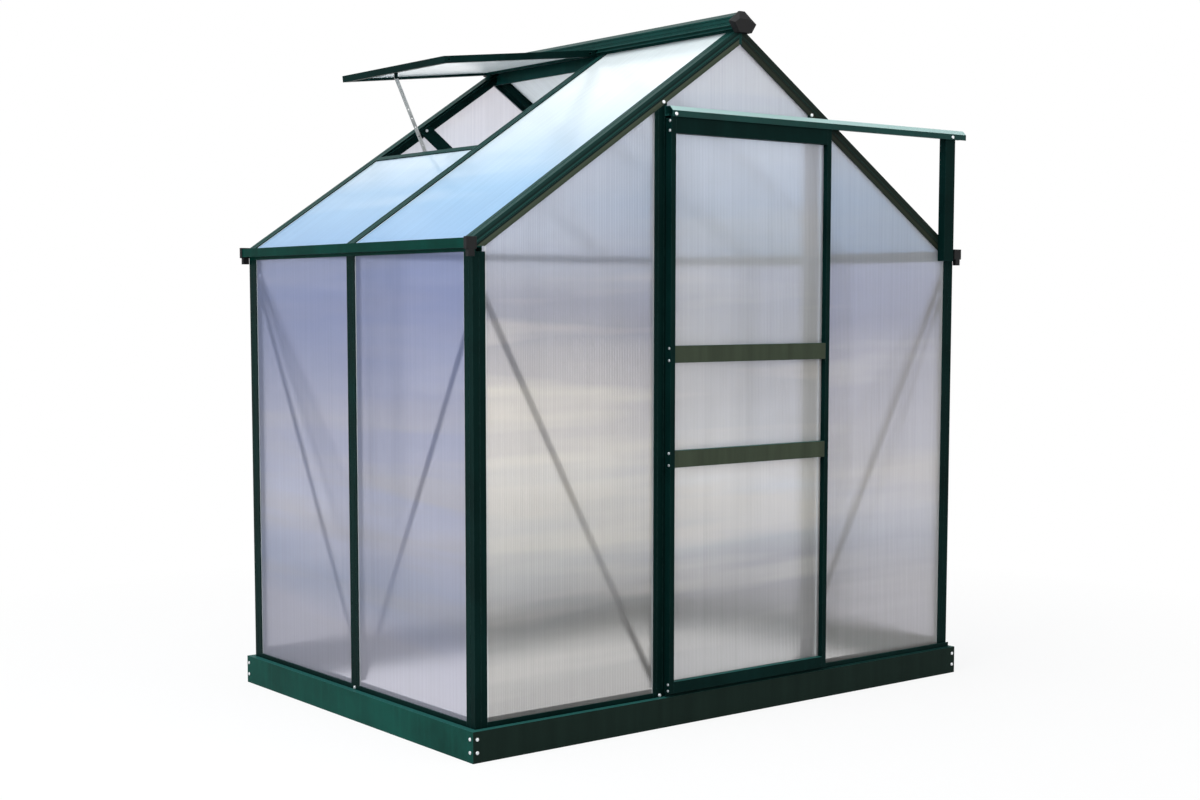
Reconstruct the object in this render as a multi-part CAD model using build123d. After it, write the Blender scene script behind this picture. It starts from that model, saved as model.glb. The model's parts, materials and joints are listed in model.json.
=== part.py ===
from build123d import *
import math
import os

# Walk-in greenhouse: sizes in millimetres, angles in degrees.
# X runs along the front gable to the right, Y to the rear, Z up.
# The origin is the centre of the base's underside.

# Base plinth
BASE_WIDTH = 1900.0
BASE_DEPTH = 1285.0
BASE_HEIGHT = 85.0
BASE_SHEET = 1.5
BASE_FLANGE = 52.0
BRACKET_LEG = 45.0
BRACKET_SHEET = 2.0
BRACKET_MARGIN = 8.0
ANCHOR_SPACING_X = 1600.0
ANCHOR_INSET = 20.0
ANCHOR_RADIUS = 5.5
BASE_SCREW_EDGE = 13.0
BASE_SCREW_LOW = 28.0
BASE_SCREW_HIGH = 64.0
BASE_SCREW_RADIUS = 2.4
BASE_SCREW_HEAD = 5.0
BASE_SCREW_HEAD_HEIGHT = 2.6
BASE_SCREW_LENGTH = 9.0

# House outline
FRAME_SETBACK = 20.0
EAVE_HEIGHT = 1340.0
ROOF_SLOPE = 33.6
DOORWAY_WIDTH = 550.0
REAR_POST_X = 460.0
HEADER_CLEARANCE = 17.0
HEADER_HEIGHT = 30.0

# Glazing sheet and the slots that hold it
PANEL = 4.0
PANEL_PLAY = 0.3
SLOT_DEPTH = 10.0
EDGE_PLAY = 1.5

# Extrusion sections
FLANGE = 3.0
INNER_FLANGE = 2.4
WEB = 2.0
FRAME_DEPTH = 30.0
RAFTER_DEPTH = 40.0
POST_FACE = 40.0
BAR_FACE = 42.0
BOLT_SLOT = 20.0
BOLT_SLOT_MOUTH = 10.0
FACE_GROOVE_WIDTH = 3.0
FACE_GROOVE_DEPTH = 1.0
SILL_LIP = 14.0
SILL_HEIGHT = 25.0
SILL_SLOT_FLOOR = 6.0
SILL_BACK = 12.0
FIT = 0.3

# Eave rail and gutter
EAVE_BODY = 14.0
GUTTER_REACH = 24.0
GUTTER_WALL = 2.0
GUTTER_FLOOR = 9.0
GUTTER_HEIGHT = 26.0
EAVE_UPSTAND = 2.0
RAFTER_OVERHANG = 6.0
PANEL_DRIP = 8.0
GUTTER_CAP_DEPTH = 13.0
GUTTER_CAP_RIM = 3.0
GUTTER_CAP_INNER = 6.0
GUTTER_CAP_STEM_WIDTH = 20.0
GUTTER_CAP_STEM = 22.0

# Ridge
RIDGE_WEB = 10.0
RIDGE_WEB_DROP = 48.0
RIDGE_NECK = 16.0
RIDGE_HALF = 28.0
RIDGE_WALL_LOW = -2.0
RIDGE_WALL_HIGH = 29.0
RIDGE_CREST = 8.0
RIDGE_CREST_HEIGHT = 42.0
RIDGE_LIP = 3.0
RIDGE_LIP_HEIGHT = 4.0
RIDGE_GROOVE = 2.0
RIDGE_GROOVE_HEIGHT = 12.0
RIDGE_CAP_HALF = 47.0
RIDGE_CAP_DEPTH = 22.0
RIDGE_CAP_RIM = 6.0
RIDGE_CAP_HEIGHT = 62.0
RIDGE_CAP_SHOULDER = 30.0
RIDGE_CAP_BROW = 24.0

# Roof vent and its hinge groove in the ridge
HINGE_DOWN = 28.0
HINGE_UP = 17.5
BEAD_RADIUS = 4.0
GROOVE_PLAY = 0.3
GROOVE_WALL = 2.5
GROOVE_MOUTH_LOW = -35.0
GROOVE_MOUTH_HIGH = 60.0
VENT_OPEN = 27.0
VENT_NECK = 3.0
VENT_RAIL = 22.0
VENT_THICK = 20.0
VENT_LIFT = 1.0
VENT_TOP_GAP = 8.0
VENT_LENGTH = 574.0
VENT_SIDE_LAP = 16.0
VENT_SLOT_DEPTH = 8.0
VENT_SILL_WIDTH = 22.0
VENT_SILL_DEPTH = 22.0
VENT_SILL_LAP = 12.0

# Vent stay
STAY_WIDTH = 12.0
STAY_THICK = 3.0
STAY_OFFSET = 58.0
STAY_LENGTH = 280.0
STAY_PIVOT_BACK = 50.0
STAY_PIVOT_DROP = 7.0
STAY_LEAN = 25.3
STAY_PIN = 2.4
STAY_PIN_PLAY = 0.06
STAY_HOLE = 3.0
STAY_HOLE_PITCH = 30.0
STAY_HOLE_COUNT = 6
PEG_ALONG = 257.0
PEG_EAR = 3.0
PEG_STANDOFF = 4.0
LUG_PLATE = 3.0
LUG_EAR = 3.0

# Sliding door
DOOR_WIDTH = 627.0
DOOR_OFFSET = 33.5
DOOR_BOTTOM = 97.0
DOOR_HEAD_LAP = 2.0
DOOR_THICK = 24.0
DOOR_GAP = 3.0
DOOR_TRAVEL = 502.0
DOOR_LIP = 8.0
STILE_WIDTH = 16.0
STILE_WALL = 2.5
TOP_RAIL = 41.0
MID_RAIL = 48.0
MID_RAIL_HIGH = 1039.0
MID_RAIL_LOW = 743.0
BOTTOM_RAIL = 32.0
DOOR_PANEL_BACK = 17.5
DOOR_SLOT = 7.0
DOOR_SCREW_RADIUS = 2.0
DOOR_SCREW_HEAD = 4.0
DOOR_SCREW_HEAD_HEIGHT = 2.2
DOOR_SCREW_LENGTH = 22.0
DOOR_SCREW_EDGE = 7.0
DOOR_SCREW_BACK = 7.0

# Door track, hangers and rollers
TRACK_RISE = 36.0
TRACK_DEPTH = 34.0
TRACK_WALL = 2.0
TRACK_LEFT = 282.0
TRACK_RIGHT = 945.0
HOOD_DROP = 30.0
HOOD_CHAMFER = 13.0
HOOD_BOLT_EDGE = 12.0
LEDGE_RISE = 12.0
LEDGE_THICK = 3.0
LEDGE_REACH = 13.0
LEDGE_RIB_WIDTH = 2.0
LEDGE_RIB_HEIGHT = 3.0
ROLLER_RADIUS = 10.0
ROLLER_WIDTH = 7.0
ROLLER_BACK = 3.2
ROLLER_LIFT = 0.1
ROLLER_SPREAD = 220.0
AXLE_RADIUS = 2.5
AXLE_PLAY = 0.06
COLLAR_RADIUS = 4.0
HANGER_BACK = 14.5
HANGER_SHEET = 3.0
HANGER_WIDTH = 44.0
HANGER_FOOT = 12.0
STOP_LENGTH = 15.0
STOP_HEIGHT = 16.0
STOP_GAP = 1.0
GUIDE_BACK = 4.0
GUIDE_FLANGE = 18.0
GUIDE_SHEET = 2.0
GUIDE_FIN_BACK = 8.0
GUIDE_FIN_HEIGHT = 16.0
GUIDE_PLAY = 1.5
GUIDE_SLOT_HEIGHT = 11.0
SUPPORT_WIDTH = 44.0
SUPPORT_DEPTH = 26.0
SUPPORT_SHEET = 3.0
SUPPORT_EDGE = 27.0

# Braces and fasteners
BRACE_WIDTH = 20.0
BRACE_THICK = 2.0
GABLE_BRACE_DROP = 48.0
WALL_BRACE_DROP = 110.0
BRACE_FOOT = 128.0
BRACE_END = 14.0
CROSSBAR_HEIGHT = 25.0
CROSSBAR_LIFT = 9.0
BOLT_RADIUS = 3.0
BOLT_HEAD = 5.2
BOLT_HEAD_HEIGHT = 3.6
BOLT_PLAY = 0.2
FOOT_BOLT_HEIGHT = 6.0
RAFTER_BOLT_RISE = 11.0
RAFTER_BOLT_OUT = 13.0
STRUT_WIDTH = 44.0
STRUT_THICK = 3.0
STRUT_FALL = 37.4
STRUT_TOP_X = -293.0
STRUT_TOP_DEPTH = 20.0

# Places worked out from the driving sizes
WALL_X = BASE_WIDTH / 2 - FRAME_SETBACK
WALL_Y = BASE_DEPTH / 2 - FRAME_SETBACK
SLOPE = math.radians(ROOF_SLOPE)
APEX = EAVE_HEIGHT + FRAME_DEPTH / math.cos(SLOPE) + WALL_X * math.tan(SLOPE)
SLOT = PANEL + 2 * PANEL_PLAY
LEG = FLANGE + SLOT + INNER_FLANGE
PANEL_IN = FLANGE + PANEL_PLAY
EDGE_IN = SLOT_DEPTH - EDGE_PLAY
DOOR_EDGE_IN = DOOR_SLOT - EDGE_PLAY
EAVE_SEAT = EAVE_HEIGHT + EAVE_BODY
GABLE_BRACE_TOP = EAVE_HEIGHT - GABLE_BRACE_DROP
WALL_BRACE_TOP = EAVE_HEIGHT - WALL_BRACE_DROP
CROSSBAR_BOTTOM = EAVE_HEIGHT + CROSSBAR_LIFT
DOOR_POST_X = DOORWAY_WIDTH / 2 + BAR_FACE / 2
RAFTER_UNDERSIDE = APEX - RAFTER_DEPTH / math.cos(SLOPE) - DOORWAY_WIDTH / 2 * math.tan(SLOPE)
HEADER_BOTTOM = RAFTER_UNDERSIDE - HEADER_CLEARANCE - HEADER_HEIGHT
DOOR_TOP = HEADER_BOTTOM + DOOR_HEAD_LAP
TRACK_TOP = HEADER_BOTTOM + TRACK_RISE
LEDGE_TOP = HEADER_BOTTOM + LEDGE_RISE
LEDGE_BOTTOM = LEDGE_TOP - LEDGE_THICK
DOOR_BACK = WALL_Y + DOOR_GAP
DOOR_FRONT = DOOR_BACK + DOOR_THICK
FAR = 4000.0

NODES = {}


def node(name, *solids):
    """Keep the solids of one named sub-part."""
    NODES[name] = list(solids)


def rect(u0, u1, v0, v1):
    """Rectangle between two corners of a section."""
    return Pos((u0 + u1) / 2, (v0 + v1) / 2) * Rectangle(u1 - u0, v1 - v0)


def polygon(points):
    """Face bounded by straight edges."""
    return make_face(Polyline(*points, close=True))


def block(x0, x1, y0, y1, z0, z1):
    """Box between two corners."""
    return Pos((x0 + x1) / 2, (y0 + y1) / 2, (z0 + z1) / 2) * Box(x1 - x0, y1 - y0, z1 - z0)


def prism(plane, face, length):
    """Extrude a section drawn on a plane along the plane's normal."""
    return extrude(plane * face, length)


def along_x(face, x0, x1):
    """Extrude a section drawn in Y and Z from x0 to x1."""
    return prism(Plane((x0, 0, 0), x_dir=(0, 1, 0), z_dir=(1, 0, 0)), face, x1 - x0)


def along_y(face, y0, y1):
    """Extrude a section drawn in X and Z from y0 to y1."""
    return prism(Plane((0, y1, 0), x_dir=(1, 0, 0), z_dir=(0, -1, 0)), face, y1 - y0)


def upright(origin, x_dir, face, z0, z1):
    """Extrude a plan section from z0 to z1, its u axis along x_dir."""
    return prism(Plane((origin[0], origin[1], z0), x_dir=x_dir, z_dir=(0, 0, 1)), face, z1 - z0)


def right_of(shape):
    """Mirror image on the right-hand side of the house."""
    return mirror(shape, about=Plane.YZ)


def rear_of(shape):
    """Mirror image on the rear side of the house."""
    return mirror(shape, about=Plane.XZ)


def roof_point(down, up):
    """X and Z of a point on the left slope: down the slope, and up from its outer plane."""
    x = -down * math.cos(SLOPE) - up * math.sin(SLOPE)
    z = APEX - down * math.sin(SLOPE) + up * math.cos(SLOPE)
    return (x, z)


def slope_prism(face, down0, down1):
    """Extrude a section of Y and depth below the left slope from down0 to down1."""
    x, z = roof_point(down0, 0)
    fall = (-math.cos(SLOPE), 0, -math.sin(SLOPE))
    return prism(Plane((x, 0, z), x_dir=(0, 1, 0), z_dir=fall), face, down1 - down0)


def above_roof(depth):
    """Everything above a plane that lies the given depth below both slopes."""
    crown = APEX - depth / math.cos(SLOPE)
    foot = crown - FAR * math.tan(SLOPE)
    face = polygon([(-FAR, foot), (0, crown), (FAR, foot), (FAR, crown + FAR), (-FAR, crown + FAR)])
    return along_y(face, -FAR, FAR)


# Sections of the extrusions


def glazing_bar_face():
    """Bar with a sheet slot on each side and a bolt slot at the back."""
    half = BAR_FACE / 2
    back = FLANGE + SLOT
    face = rect(-half, half, 0, FLANGE)
    face += rect(-half + SLOT_DEPTH, half - SLOT_DEPTH, FLANGE, back)
    face += rect(-half, half, back, LEG)
    for side in (-1, 1):
        outer = side * BOLT_SLOT / 2
        web = sorted((outer, outer - side * WEB))
        lip = sorted((outer, side * BOLT_SLOT_MOUTH / 2))
        face += rect(web[0], web[1], LEG, FRAME_DEPTH)
        face += rect(lip[0], lip[1], FRAME_DEPTH - WEB, FRAME_DEPTH)
        groove = side * half / 2
        face -= rect(groove - FACE_GROOVE_WIDTH / 2, groove + FACE_GROOVE_WIDTH / 2, 0, FACE_GROOVE_DEPTH)
    return face


def corner_face(width_u, width_v):
    """Two legs at a right angle, each with a sheet slot at its end, and a square tube behind."""
    face = rect(0, width_u, 0, LEG) + rect(0, LEG, 0, width_v)
    face += rect(LEG, FRAME_DEPTH, LEG, FRAME_DEPTH)
    face -= rect(LEG, FRAME_DEPTH - WEB, LEG, FRAME_DEPTH - WEB)
    face -= rect(width_u - SLOT_DEPTH, width_u, FLANGE, FLANGE + SLOT)
    face -= rect(FLANGE, FLANGE + SLOT, width_v - SLOT_DEPTH, width_v)
    middle_u = width_u / 2 - FACE_GROOVE_WIDTH / 2
    middle_v = width_v / 2 - FACE_GROOVE_WIDTH / 2
    face -= rect(middle_u, middle_u + FACE_GROOVE_WIDTH, 0, FACE_GROOVE_DEPTH)
    face -= rect(0, FACE_GROOVE_DEPTH, middle_v, middle_v + FACE_GROOVE_WIDTH)
    return face


def sill_face(height, lip):
    """Rail with an upward sheet slot, drawn as depth and height."""
    face = rect(0, FRAME_DEPTH, 0, FLANGE)
    face += rect(0, FLANGE, 0, lip)
    face += rect(FLANGE, FLANGE + SLOT, FLANGE, SILL_SLOT_FLOOR)
    face += rect(FLANGE + SLOT, LEG, FLANGE, height)
    face += rect(FRAME_DEPTH - WEB, FRAME_DEPTH, FLANGE, SILL_BACK)
    return face


def screw_solid(radius, head_radius, head_height, length):
    """Dome-headed screw along +Z: the head stands below Z 0, the shank above it."""
    head = Pos(0, 0, -head_height / 2) * Cylinder(head_radius, head_height)
    head = fillet(head.edges().sort_by(Axis.Z)[0], head_height / 2)
    return head + Pos(0, 0, length / 2) * Cylinder(radius, length)


def bolt_solid(length):
    """Frame bolt along +Z."""
    return screw_solid(BOLT_RADIUS, BOLT_HEAD, BOLT_HEAD_HEIGHT, length)


def aim(place, direction):
    """Location at a place whose Z axis points along a direction."""
    return Plane(place, z_dir=direction).location


def hole(place, direction, radius, length):
    """Drill that starts at a place and runs along a direction."""
    return aim(place, direction) * Pos(0, 0, length / 2) * Cylinder(radius, length)


# Base plinth


def base_rail(length, offset):
    """Folded channel along X whose outer face is at Y = -offset, mitred at both ends."""
    face = rect(-offset, -offset + BASE_SHEET, 0, BASE_HEIGHT)
    face += rect(-offset, -offset + BASE_FLANGE, 0, BASE_SHEET)
    face += rect(-offset, -offset + BASE_FLANGE, BASE_HEIGHT - BASE_SHEET, BASE_HEIGHT)
    rail = along_x(face, -length / 2, length / 2)
    inner = length / 2 - BASE_FLANGE
    mitre = polygon([(-length / 2, -offset), (length / 2, -offset),
                     (inner, -offset + BASE_FLANGE), (-inner, -offset + BASE_FLANGE)])
    return rail & extrude(mitre, BASE_HEIGHT)


def base_screw_places():
    """Place and inward direction of the screws at the front left corner."""
    half_x = BASE_WIDTH / 2
    half_y = BASE_DEPTH / 2
    places = []
    for height in (BASE_SCREW_LOW, BASE_SCREW_HIGH):
        places.append(((-half_x + BASE_SCREW_EDGE, -half_y, height), (0, 1, 0)))
        places.append(((-half_x, -half_y + BASE_SCREW_EDGE, height), (1, 0, 0)))
    return places


def four_corners(shape):
    """A shape of the front left corner repeated at all four corners."""
    left = [shape, rear_of(shape)]
    return left + [right_of(item) for item in left]


def make_base():
    half_x = BASE_WIDTH / 2
    half_y = BASE_DEPTH / 2
    screw_holes = Part()
    screws = []
    for place, direction in base_screw_places():
        drill = hole(place, direction, BASE_SCREW_RADIUS + BOLT_PLAY / 2, BASE_SCREW_LENGTH)
        screw_holes += four_corners(drill)
        screw = screw_solid(BASE_SCREW_RADIUS, BASE_SCREW_HEAD, BASE_SCREW_HEAD_HEIGHT, BASE_SCREW_LENGTH)
        screws += four_corners(aim(place, direction) * screw)
    front = base_rail(BASE_WIDTH, half_y) - screw_holes
    for side in (-1, 1):
        place = (side * ANCHOR_SPACING_X / 2, -half_y + ANCHOR_INSET, 0)
        front -= hole(place, (0, 0, 1), ANCHOR_RADIUS, BASE_SHEET)
    left = Rot(0, 0, -90) * base_rail(BASE_DEPTH, half_x) - screw_holes
    node("base_rail_front", front)
    node("base_rail_rear", rear_of(front))
    node("base_rail_left", left)
    node("base_rail_right", right_of(left))
    x0 = -half_x + BASE_SHEET
    y0 = -half_y + BASE_SHEET
    plan = rect(x0, x0 + BRACKET_LEG, y0, y0 + BRACKET_SHEET)
    plan += rect(x0, x0 + BRACKET_SHEET, y0, y0 + BRACKET_LEG)
    bracket = Pos(0, 0, BRACKET_MARGIN) * extrude(plan, BASE_HEIGHT - 2 * BRACKET_MARGIN)
    node("base_corner_brackets", *four_corners(bracket - screw_holes))
    node("base_screws", *screws)


# Walls


def foot_bolt(x, y, direction):
    """Place of the bolt through a post's foot."""
    return ((x, y, BASE_HEIGHT + FOOT_BOLT_HEIGHT), direction)


FRONT_POST_XS = (-DOOR_POST_X, DOOR_POST_X)
REAR_POST_XS = (-REAR_POST_X, REAR_POST_X)
FOOT_BOLTS = [foot_bolt(x, -WALL_Y, (0, 1, 0)) for x in FRONT_POST_XS]
FOOT_BOLTS += [foot_bolt(x, WALL_Y, (0, -1, 0)) for x in REAR_POST_XS]
FOOT_BOLTS += [foot_bolt(-WALL_X, 0, (1, 0, 0)), foot_bolt(WALL_X, 0, (-1, 0, 0))]
FOOT_BOLT_LENGTH = LEG + FLANGE


def foot_holes():
    """Drills for all the foot bolts."""
    drills = Part()
    for place, direction in FOOT_BOLTS:
        drills += hole(place, direction, BOLT_RADIUS + BOLT_PLAY, FOOT_BOLT_LENGTH + BOLT_PLAY)
    return drills


def foot_notch(x, y, turned):
    """Room in a sill's lip for the flange of a post at x and y."""
    across = BAR_FACE / 2 + FIT
    if turned:
        return block(x, x + FLANGE, y - across, y + across, BASE_HEIGHT, BASE_HEIGHT + SILL_LIP)
    return block(x - across, x + across, y, y + FLANGE, BASE_HEIGHT, BASE_HEIGHT + SILL_LIP)


def make_sills(drills):
    inner_x = WALL_X - POST_FACE
    inner_y = WALL_Y - POST_FACE
    place = Pos(-WALL_Y, BASE_HEIGHT)
    plain = along_x(place * sill_face(SILL_HEIGHT, SILL_LIP), -inner_x, inner_x)
    front = plain - drills
    for x in FRONT_POST_XS:
        front -= foot_notch(x, -WALL_Y, False)
    rear = rear_of(plain) - drills
    for x in REAR_POST_XS:
        rear -= rear_of(foot_notch(x, -WALL_Y, False))
    left = along_y(Pos(-WALL_X, BASE_HEIGHT) * sill_face(SILL_HEIGHT, SILL_LIP), -inner_y, inner_y)
    left -= foot_notch(-WALL_X, 0, True)
    left -= drills
    node("sill_front", front)
    node("sill_rear", rear)
    node("sill_left", left)
    node("sill_right", right_of(left))


def bar_post(origin, x_dir, top):
    """Post of the glazing bar section, with a flange that laps over the sill."""
    half = BAR_FACE / 2
    post = upright(origin, x_dir, glazing_bar_face(), BASE_HEIGHT + SILL_HEIGHT, top)
    foot = rect(-half, half, 0, FLANGE)
    return post + upright(origin, x_dir, foot, BASE_HEIGHT, BASE_HEIGHT + SILL_HEIGHT)


def make_posts(drills, brace_drills):
    section = corner_face(POST_FACE, POST_FACE)
    corner = upright((-WALL_X, -WALL_Y), (1, 0, 0), section, BASE_HEIGHT, EAVE_HEIGHT)
    corner -= brace_drills
    node("corner_post_front_left", corner)
    node("corner_post_front_right", right_of(corner))
    node("corner_post_rear_left", rear_of(corner))
    node("corner_post_rear_right", right_of(rear_of(corner)))
    side = bar_post((-WALL_X, 0), (0, -1, 0), EAVE_HEIGHT) - drills - brace_drills - rear_of(brace_drills)
    node("side_post_left", side)
    node("side_post_right", right_of(side))
    gable = bar_post((-DOOR_POST_X, -WALL_Y), (1, 0, 0), APEX) - above_roof(RAFTER_DEPTH) - drills
    node("door_post_left", gable)
    node("door_post_right", right_of(gable))
    rear = rear_of(bar_post((-REAR_POST_X, -WALL_Y), (1, 0, 0), APEX)) - above_roof(RAFTER_DEPTH) - drills
    node("rear_posts", rear, right_of(rear), rear_strut())


STRUT_BACK = WALL_Y - FRAME_DEPTH - BRACE_THICK
STRUT_BOLT_LENGTH = STRUT_THICK + BRACE_THICK + WEB


def strut_ends():
    """X and Z of the strut's two bolts: on the rear left rafter and on the crossbar."""
    top = APEX - STRUT_TOP_DEPTH / math.cos(SLOPE) + STRUT_TOP_X * math.tan(SLOPE)
    low = CROSSBAR_BOTTOM + CROSSBAR_HEIGHT / 2
    run = (top - low) / math.tan(math.radians(STRUT_FALL))
    return ((STRUT_TOP_X, top), (STRUT_TOP_X + run, low))


def strut_bolt_places():
    """Bolts of the rear strut, from inside the house."""
    return [((x, STRUT_BACK - STRUT_THICK, z), (0, 1, 0)) for x, z in strut_ends()]


def strut_drills():
    """Holes for the bolts of the rear strut."""
    drills = Part()
    for place, direction in strut_bolt_places():
        drills += hole(place, direction, BOLT_RADIUS + BOLT_PLAY, STRUT_BOLT_LENGTH + BOLT_PLAY)
    return drills


def rear_strut():
    """Flat bar across the rear gable, packed out to the rafter at its upper end."""
    upper, lower = strut_ends()
    length = math.hypot(lower[0] - upper[0], lower[1] - upper[1])
    place = Pos(*upper) * Rot(0, 0, -STRUT_FALL)
    half = STRUT_WIDTH / 2
    bar = along_y(place * rect(-half, length + half, -half, half), STRUT_BACK - STRUT_THICK, STRUT_BACK)
    bar += along_y(Pos(*upper) * Circle(BOLT_HEAD * 2), STRUT_BACK, STRUT_BACK + BRACE_THICK)
    return bar - above_roof(LEG + FIT) - strut_drills()


def make_header():
    face = Pos(-WALL_Y, HEADER_BOTTOM) * sill_face(HEADER_HEIGHT, HEADER_HEIGHT)
    node("gable_header", along_x(face, -DOORWAY_WIDTH / 2, DOORWAY_WIDTH / 2))


# Eaves, ridge and rafters


def rafter_gap(y, width):
    """Room in the eave's upstand for a rafter that starts at y."""
    reach = WALL_X + RAFTER_OVERHANG + FIT
    return block(-reach, -WALL_X + FRAME_DEPTH, y - FIT, y + width + FIT, EAVE_SEAT, APEX)


def make_eaves():
    outer = -WALL_X - GUTTER_REACH
    floor = EAVE_HEIGHT + GUTTER_FLOOR
    seat_x = -WALL_X + LEG
    under_panel = APEX - (PANEL_IN + PANEL + PANEL_PLAY) / math.cos(SLOPE)
    upstand_top = under_panel + (seat_x - EAVE_UPSTAND) * math.tan(SLOPE)
    face = rect(-WALL_X, -WALL_X + FRAME_DEPTH, EAVE_SEAT - FLANGE, EAVE_SEAT)
    face += rect(-WALL_X, -WALL_X + FLANGE, EAVE_HEIGHT, EAVE_SEAT)
    face += rect(-WALL_X + FLANGE + SLOT, seat_x, EAVE_HEIGHT, EAVE_SEAT)
    face += rect(-WALL_X + FRAME_DEPTH - WEB, -WALL_X + FRAME_DEPTH, EAVE_HEIGHT, EAVE_SEAT)
    face += rect(seat_x - EAVE_UPSTAND, seat_x, EAVE_SEAT, upstand_top)
    face += rect(outer, -WALL_X, floor, floor + GUTTER_WALL)
    face += rect(outer, outer + GUTTER_WALL, floor, floor + GUTTER_HEIGHT)
    eave = along_y(face, -WALL_Y, WALL_Y)
    eave -= rafter_gap(-WALL_Y, POST_FACE)
    eave -= rafter_gap(-BAR_FACE / 2, BAR_FACE)
    eave -= rafter_gap(WALL_Y - POST_FACE, POST_FACE)
    node("eave_gutter_left", eave)
    node("eave_gutter_right", right_of(eave))
    top = floor + GUTTER_HEIGHT + GUTTER_CAP_RIM
    inner = -WALL_X + GUTTER_CAP_INNER
    stem = outer + GUTTER_CAP_RIM
    outline = rect(outer - GUTTER_CAP_RIM, inner, floor - GUTTER_CAP_RIM, top)
    outline += rect(stem, stem + GUTTER_CAP_STEM_WIDTH, floor - GUTTER_CAP_STEM, floor)
    cap = along_y(outline, -WALL_Y - GUTTER_CAP_DEPTH, -WALL_Y)
    front_edges = cap.edges().group_by(Axis.Y)[0]
    cap = fillet(front_edges, GUTTER_CAP_RIM / 2)
    node("gutter_end_caps", *four_corners(cap))


def hinge_point():
    """X and Z of the vent's hinge line."""
    return roof_point(HINGE_DOWN, HINGE_UP)


def groove_face():
    """Open ring on the left of the ridge that holds the vent's bead."""
    inner = BEAD_RADIUS + GROOVE_PLAY
    centre = hinge_point()
    ring = Pos(*centre) * (Circle(inner + GROOVE_WALL) - Circle(inner))
    reach = 3 * (inner + GROOVE_WALL)
    mouth = [centre]
    for angle in (GROOVE_MOUTH_LOW, (GROOVE_MOUTH_LOW + GROOVE_MOUTH_HIGH) / 2, GROOVE_MOUTH_HIGH):
        turn = math.radians(angle)
        mouth.append(roof_point(HINGE_DOWN + reach * math.cos(turn), HINGE_UP + reach * math.sin(turn)))
    return ring - polygon(mouth)


def make_ridge():
    half = RIDGE_WEB / 2
    lip = RIDGE_HALF + RIDGE_LIP
    inner_wall = RIDGE_HALF - RIDGE_GROOVE
    groove_low = APEX + RIDGE_GROOVE_HEIGHT
    groove_high = groove_low + RIDGE_GROOVE
    left = [(-half, APEX - RIDGE_WEB_DROP),
            (-half, APEX - half * math.tan(SLOPE)),
            (-RIDGE_NECK, APEX - RIDGE_NECK * math.tan(SLOPE)),
            (-RIDGE_NECK, APEX + RIDGE_WALL_LOW),
            (-RIDGE_HALF, APEX + RIDGE_WALL_LOW),
            (-RIDGE_HALF, groove_low),
            (-inner_wall, groove_low),
            (-inner_wall, groove_high),
            (-RIDGE_HALF, groove_high),
            (-RIDGE_HALF, APEX + RIDGE_WALL_HIGH - RIDGE_LIP_HEIGHT),
            (-lip, APEX + RIDGE_WALL_HIGH - RIDGE_LIP_HEIGHT),
            (-lip, APEX + RIDGE_WALL_HIGH),
            (-RIDGE_CREST, APEX + RIDGE_CREST_HEIGHT)]
    right = [(-x, z) for x, z in reversed(left)]
    inner = BEAD_RADIUS + GROOVE_PLAY
    bore = Pos(*hinge_point()) * Circle(inner)
    face = polygon(left + right) - bore - mirror(bore, about=Plane.YZ)
    face += groove_face()
    face += mirror(groove_face(), about=Plane.YZ)
    node("ridge_beam", along_y(face, -WALL_Y, WALL_Y))
    top = APEX + RIDGE_CREST_HEIGHT + GROOVE_WALL
    wide = RIDGE_CAP_HALF
    narrow = wide / 2
    back = [(-RIDGE_WEB, top), (RIDGE_WEB, top), (wide, top - RIDGE_CAP_SHOULDER),
            (narrow, top - RIDGE_CAP_HEIGHT), (-narrow, top - RIDGE_CAP_HEIGHT),
            (-wide, top - RIDGE_CAP_SHOULDER)]
    brow = top - RIDGE_CAP_BROW
    cheek = top - RIDGE_CAP_SHOULDER - RIDGE_CAP_RIM
    front = [(-narrow, brow), (narrow, brow), (wide - RIDGE_CAP_RIM, cheek),
             (narrow, top - RIDGE_CAP_HEIGHT), (-narrow, top - RIDGE_CAP_HEIGHT),
             (-wide + RIDGE_CAP_RIM, cheek)]
    shoulder = along_y(polygon(back), -WALL_Y - RIDGE_CAP_RIM, -WALL_Y)
    sections = []
    for outline, y in ((back, -WALL_Y - RIDGE_CAP_RIM), (front, -WALL_Y - RIDGE_CAP_DEPTH)):
        sections.append(Plane((0, y, 0), x_dir=(1, 0, 0), z_dir=(0, -1, 0)) * polygon(outline))
    cap = shoulder + loft(sections, ruled=True)
    node("ridge_end_caps", cap, rear_of(cap))


def trimmed_rafter(face):
    """Rafter cut plumb at the ridge and the eave, and seated on the eave rail."""
    rafter = slope_prism(face, 0, (WALL_X + GUTTER_REACH) / math.cos(SLOPE))
    reach = WALL_X + RAFTER_OVERHANG
    return rafter & block(-reach, -RIDGE_WEB / 2, -FAR, FAR, EAVE_SEAT, APEX)


def rafter_bolt_places():
    """Bolts through the front rafters, above the corners of the doorway."""
    x = DOORWAY_WIDTH / 2 + RAFTER_BOLT_OUT
    z = TRACK_TOP + RAFTER_BOLT_RISE
    return [((side * x, -WALL_Y, z), (0, 1, 0)) for side in (-1, 1)]


def make_rafters():
    gable = trimmed_rafter(Pos(-WALL_Y, 0) * corner_face(POST_FACE, RAFTER_DEPTH))
    middle = trimmed_rafter(glazing_bar_face())
    front = gable
    for place, direction in rafter_bolt_places():
        front -= hole(place, direction, BOLT_RADIUS + BOLT_PLAY, LEG)
    node("rafter_front_left", front)
    node("rafter_front_right", right_of(front))
    rear = rear_of(gable)
    node("rafter_rear_left", rear - strut_drills())
    node("rafter_rear_right", right_of(rear))
    node("rafter_mid_left", middle)
    node("rafter_mid_right", right_of(middle))


# Glazing


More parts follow.
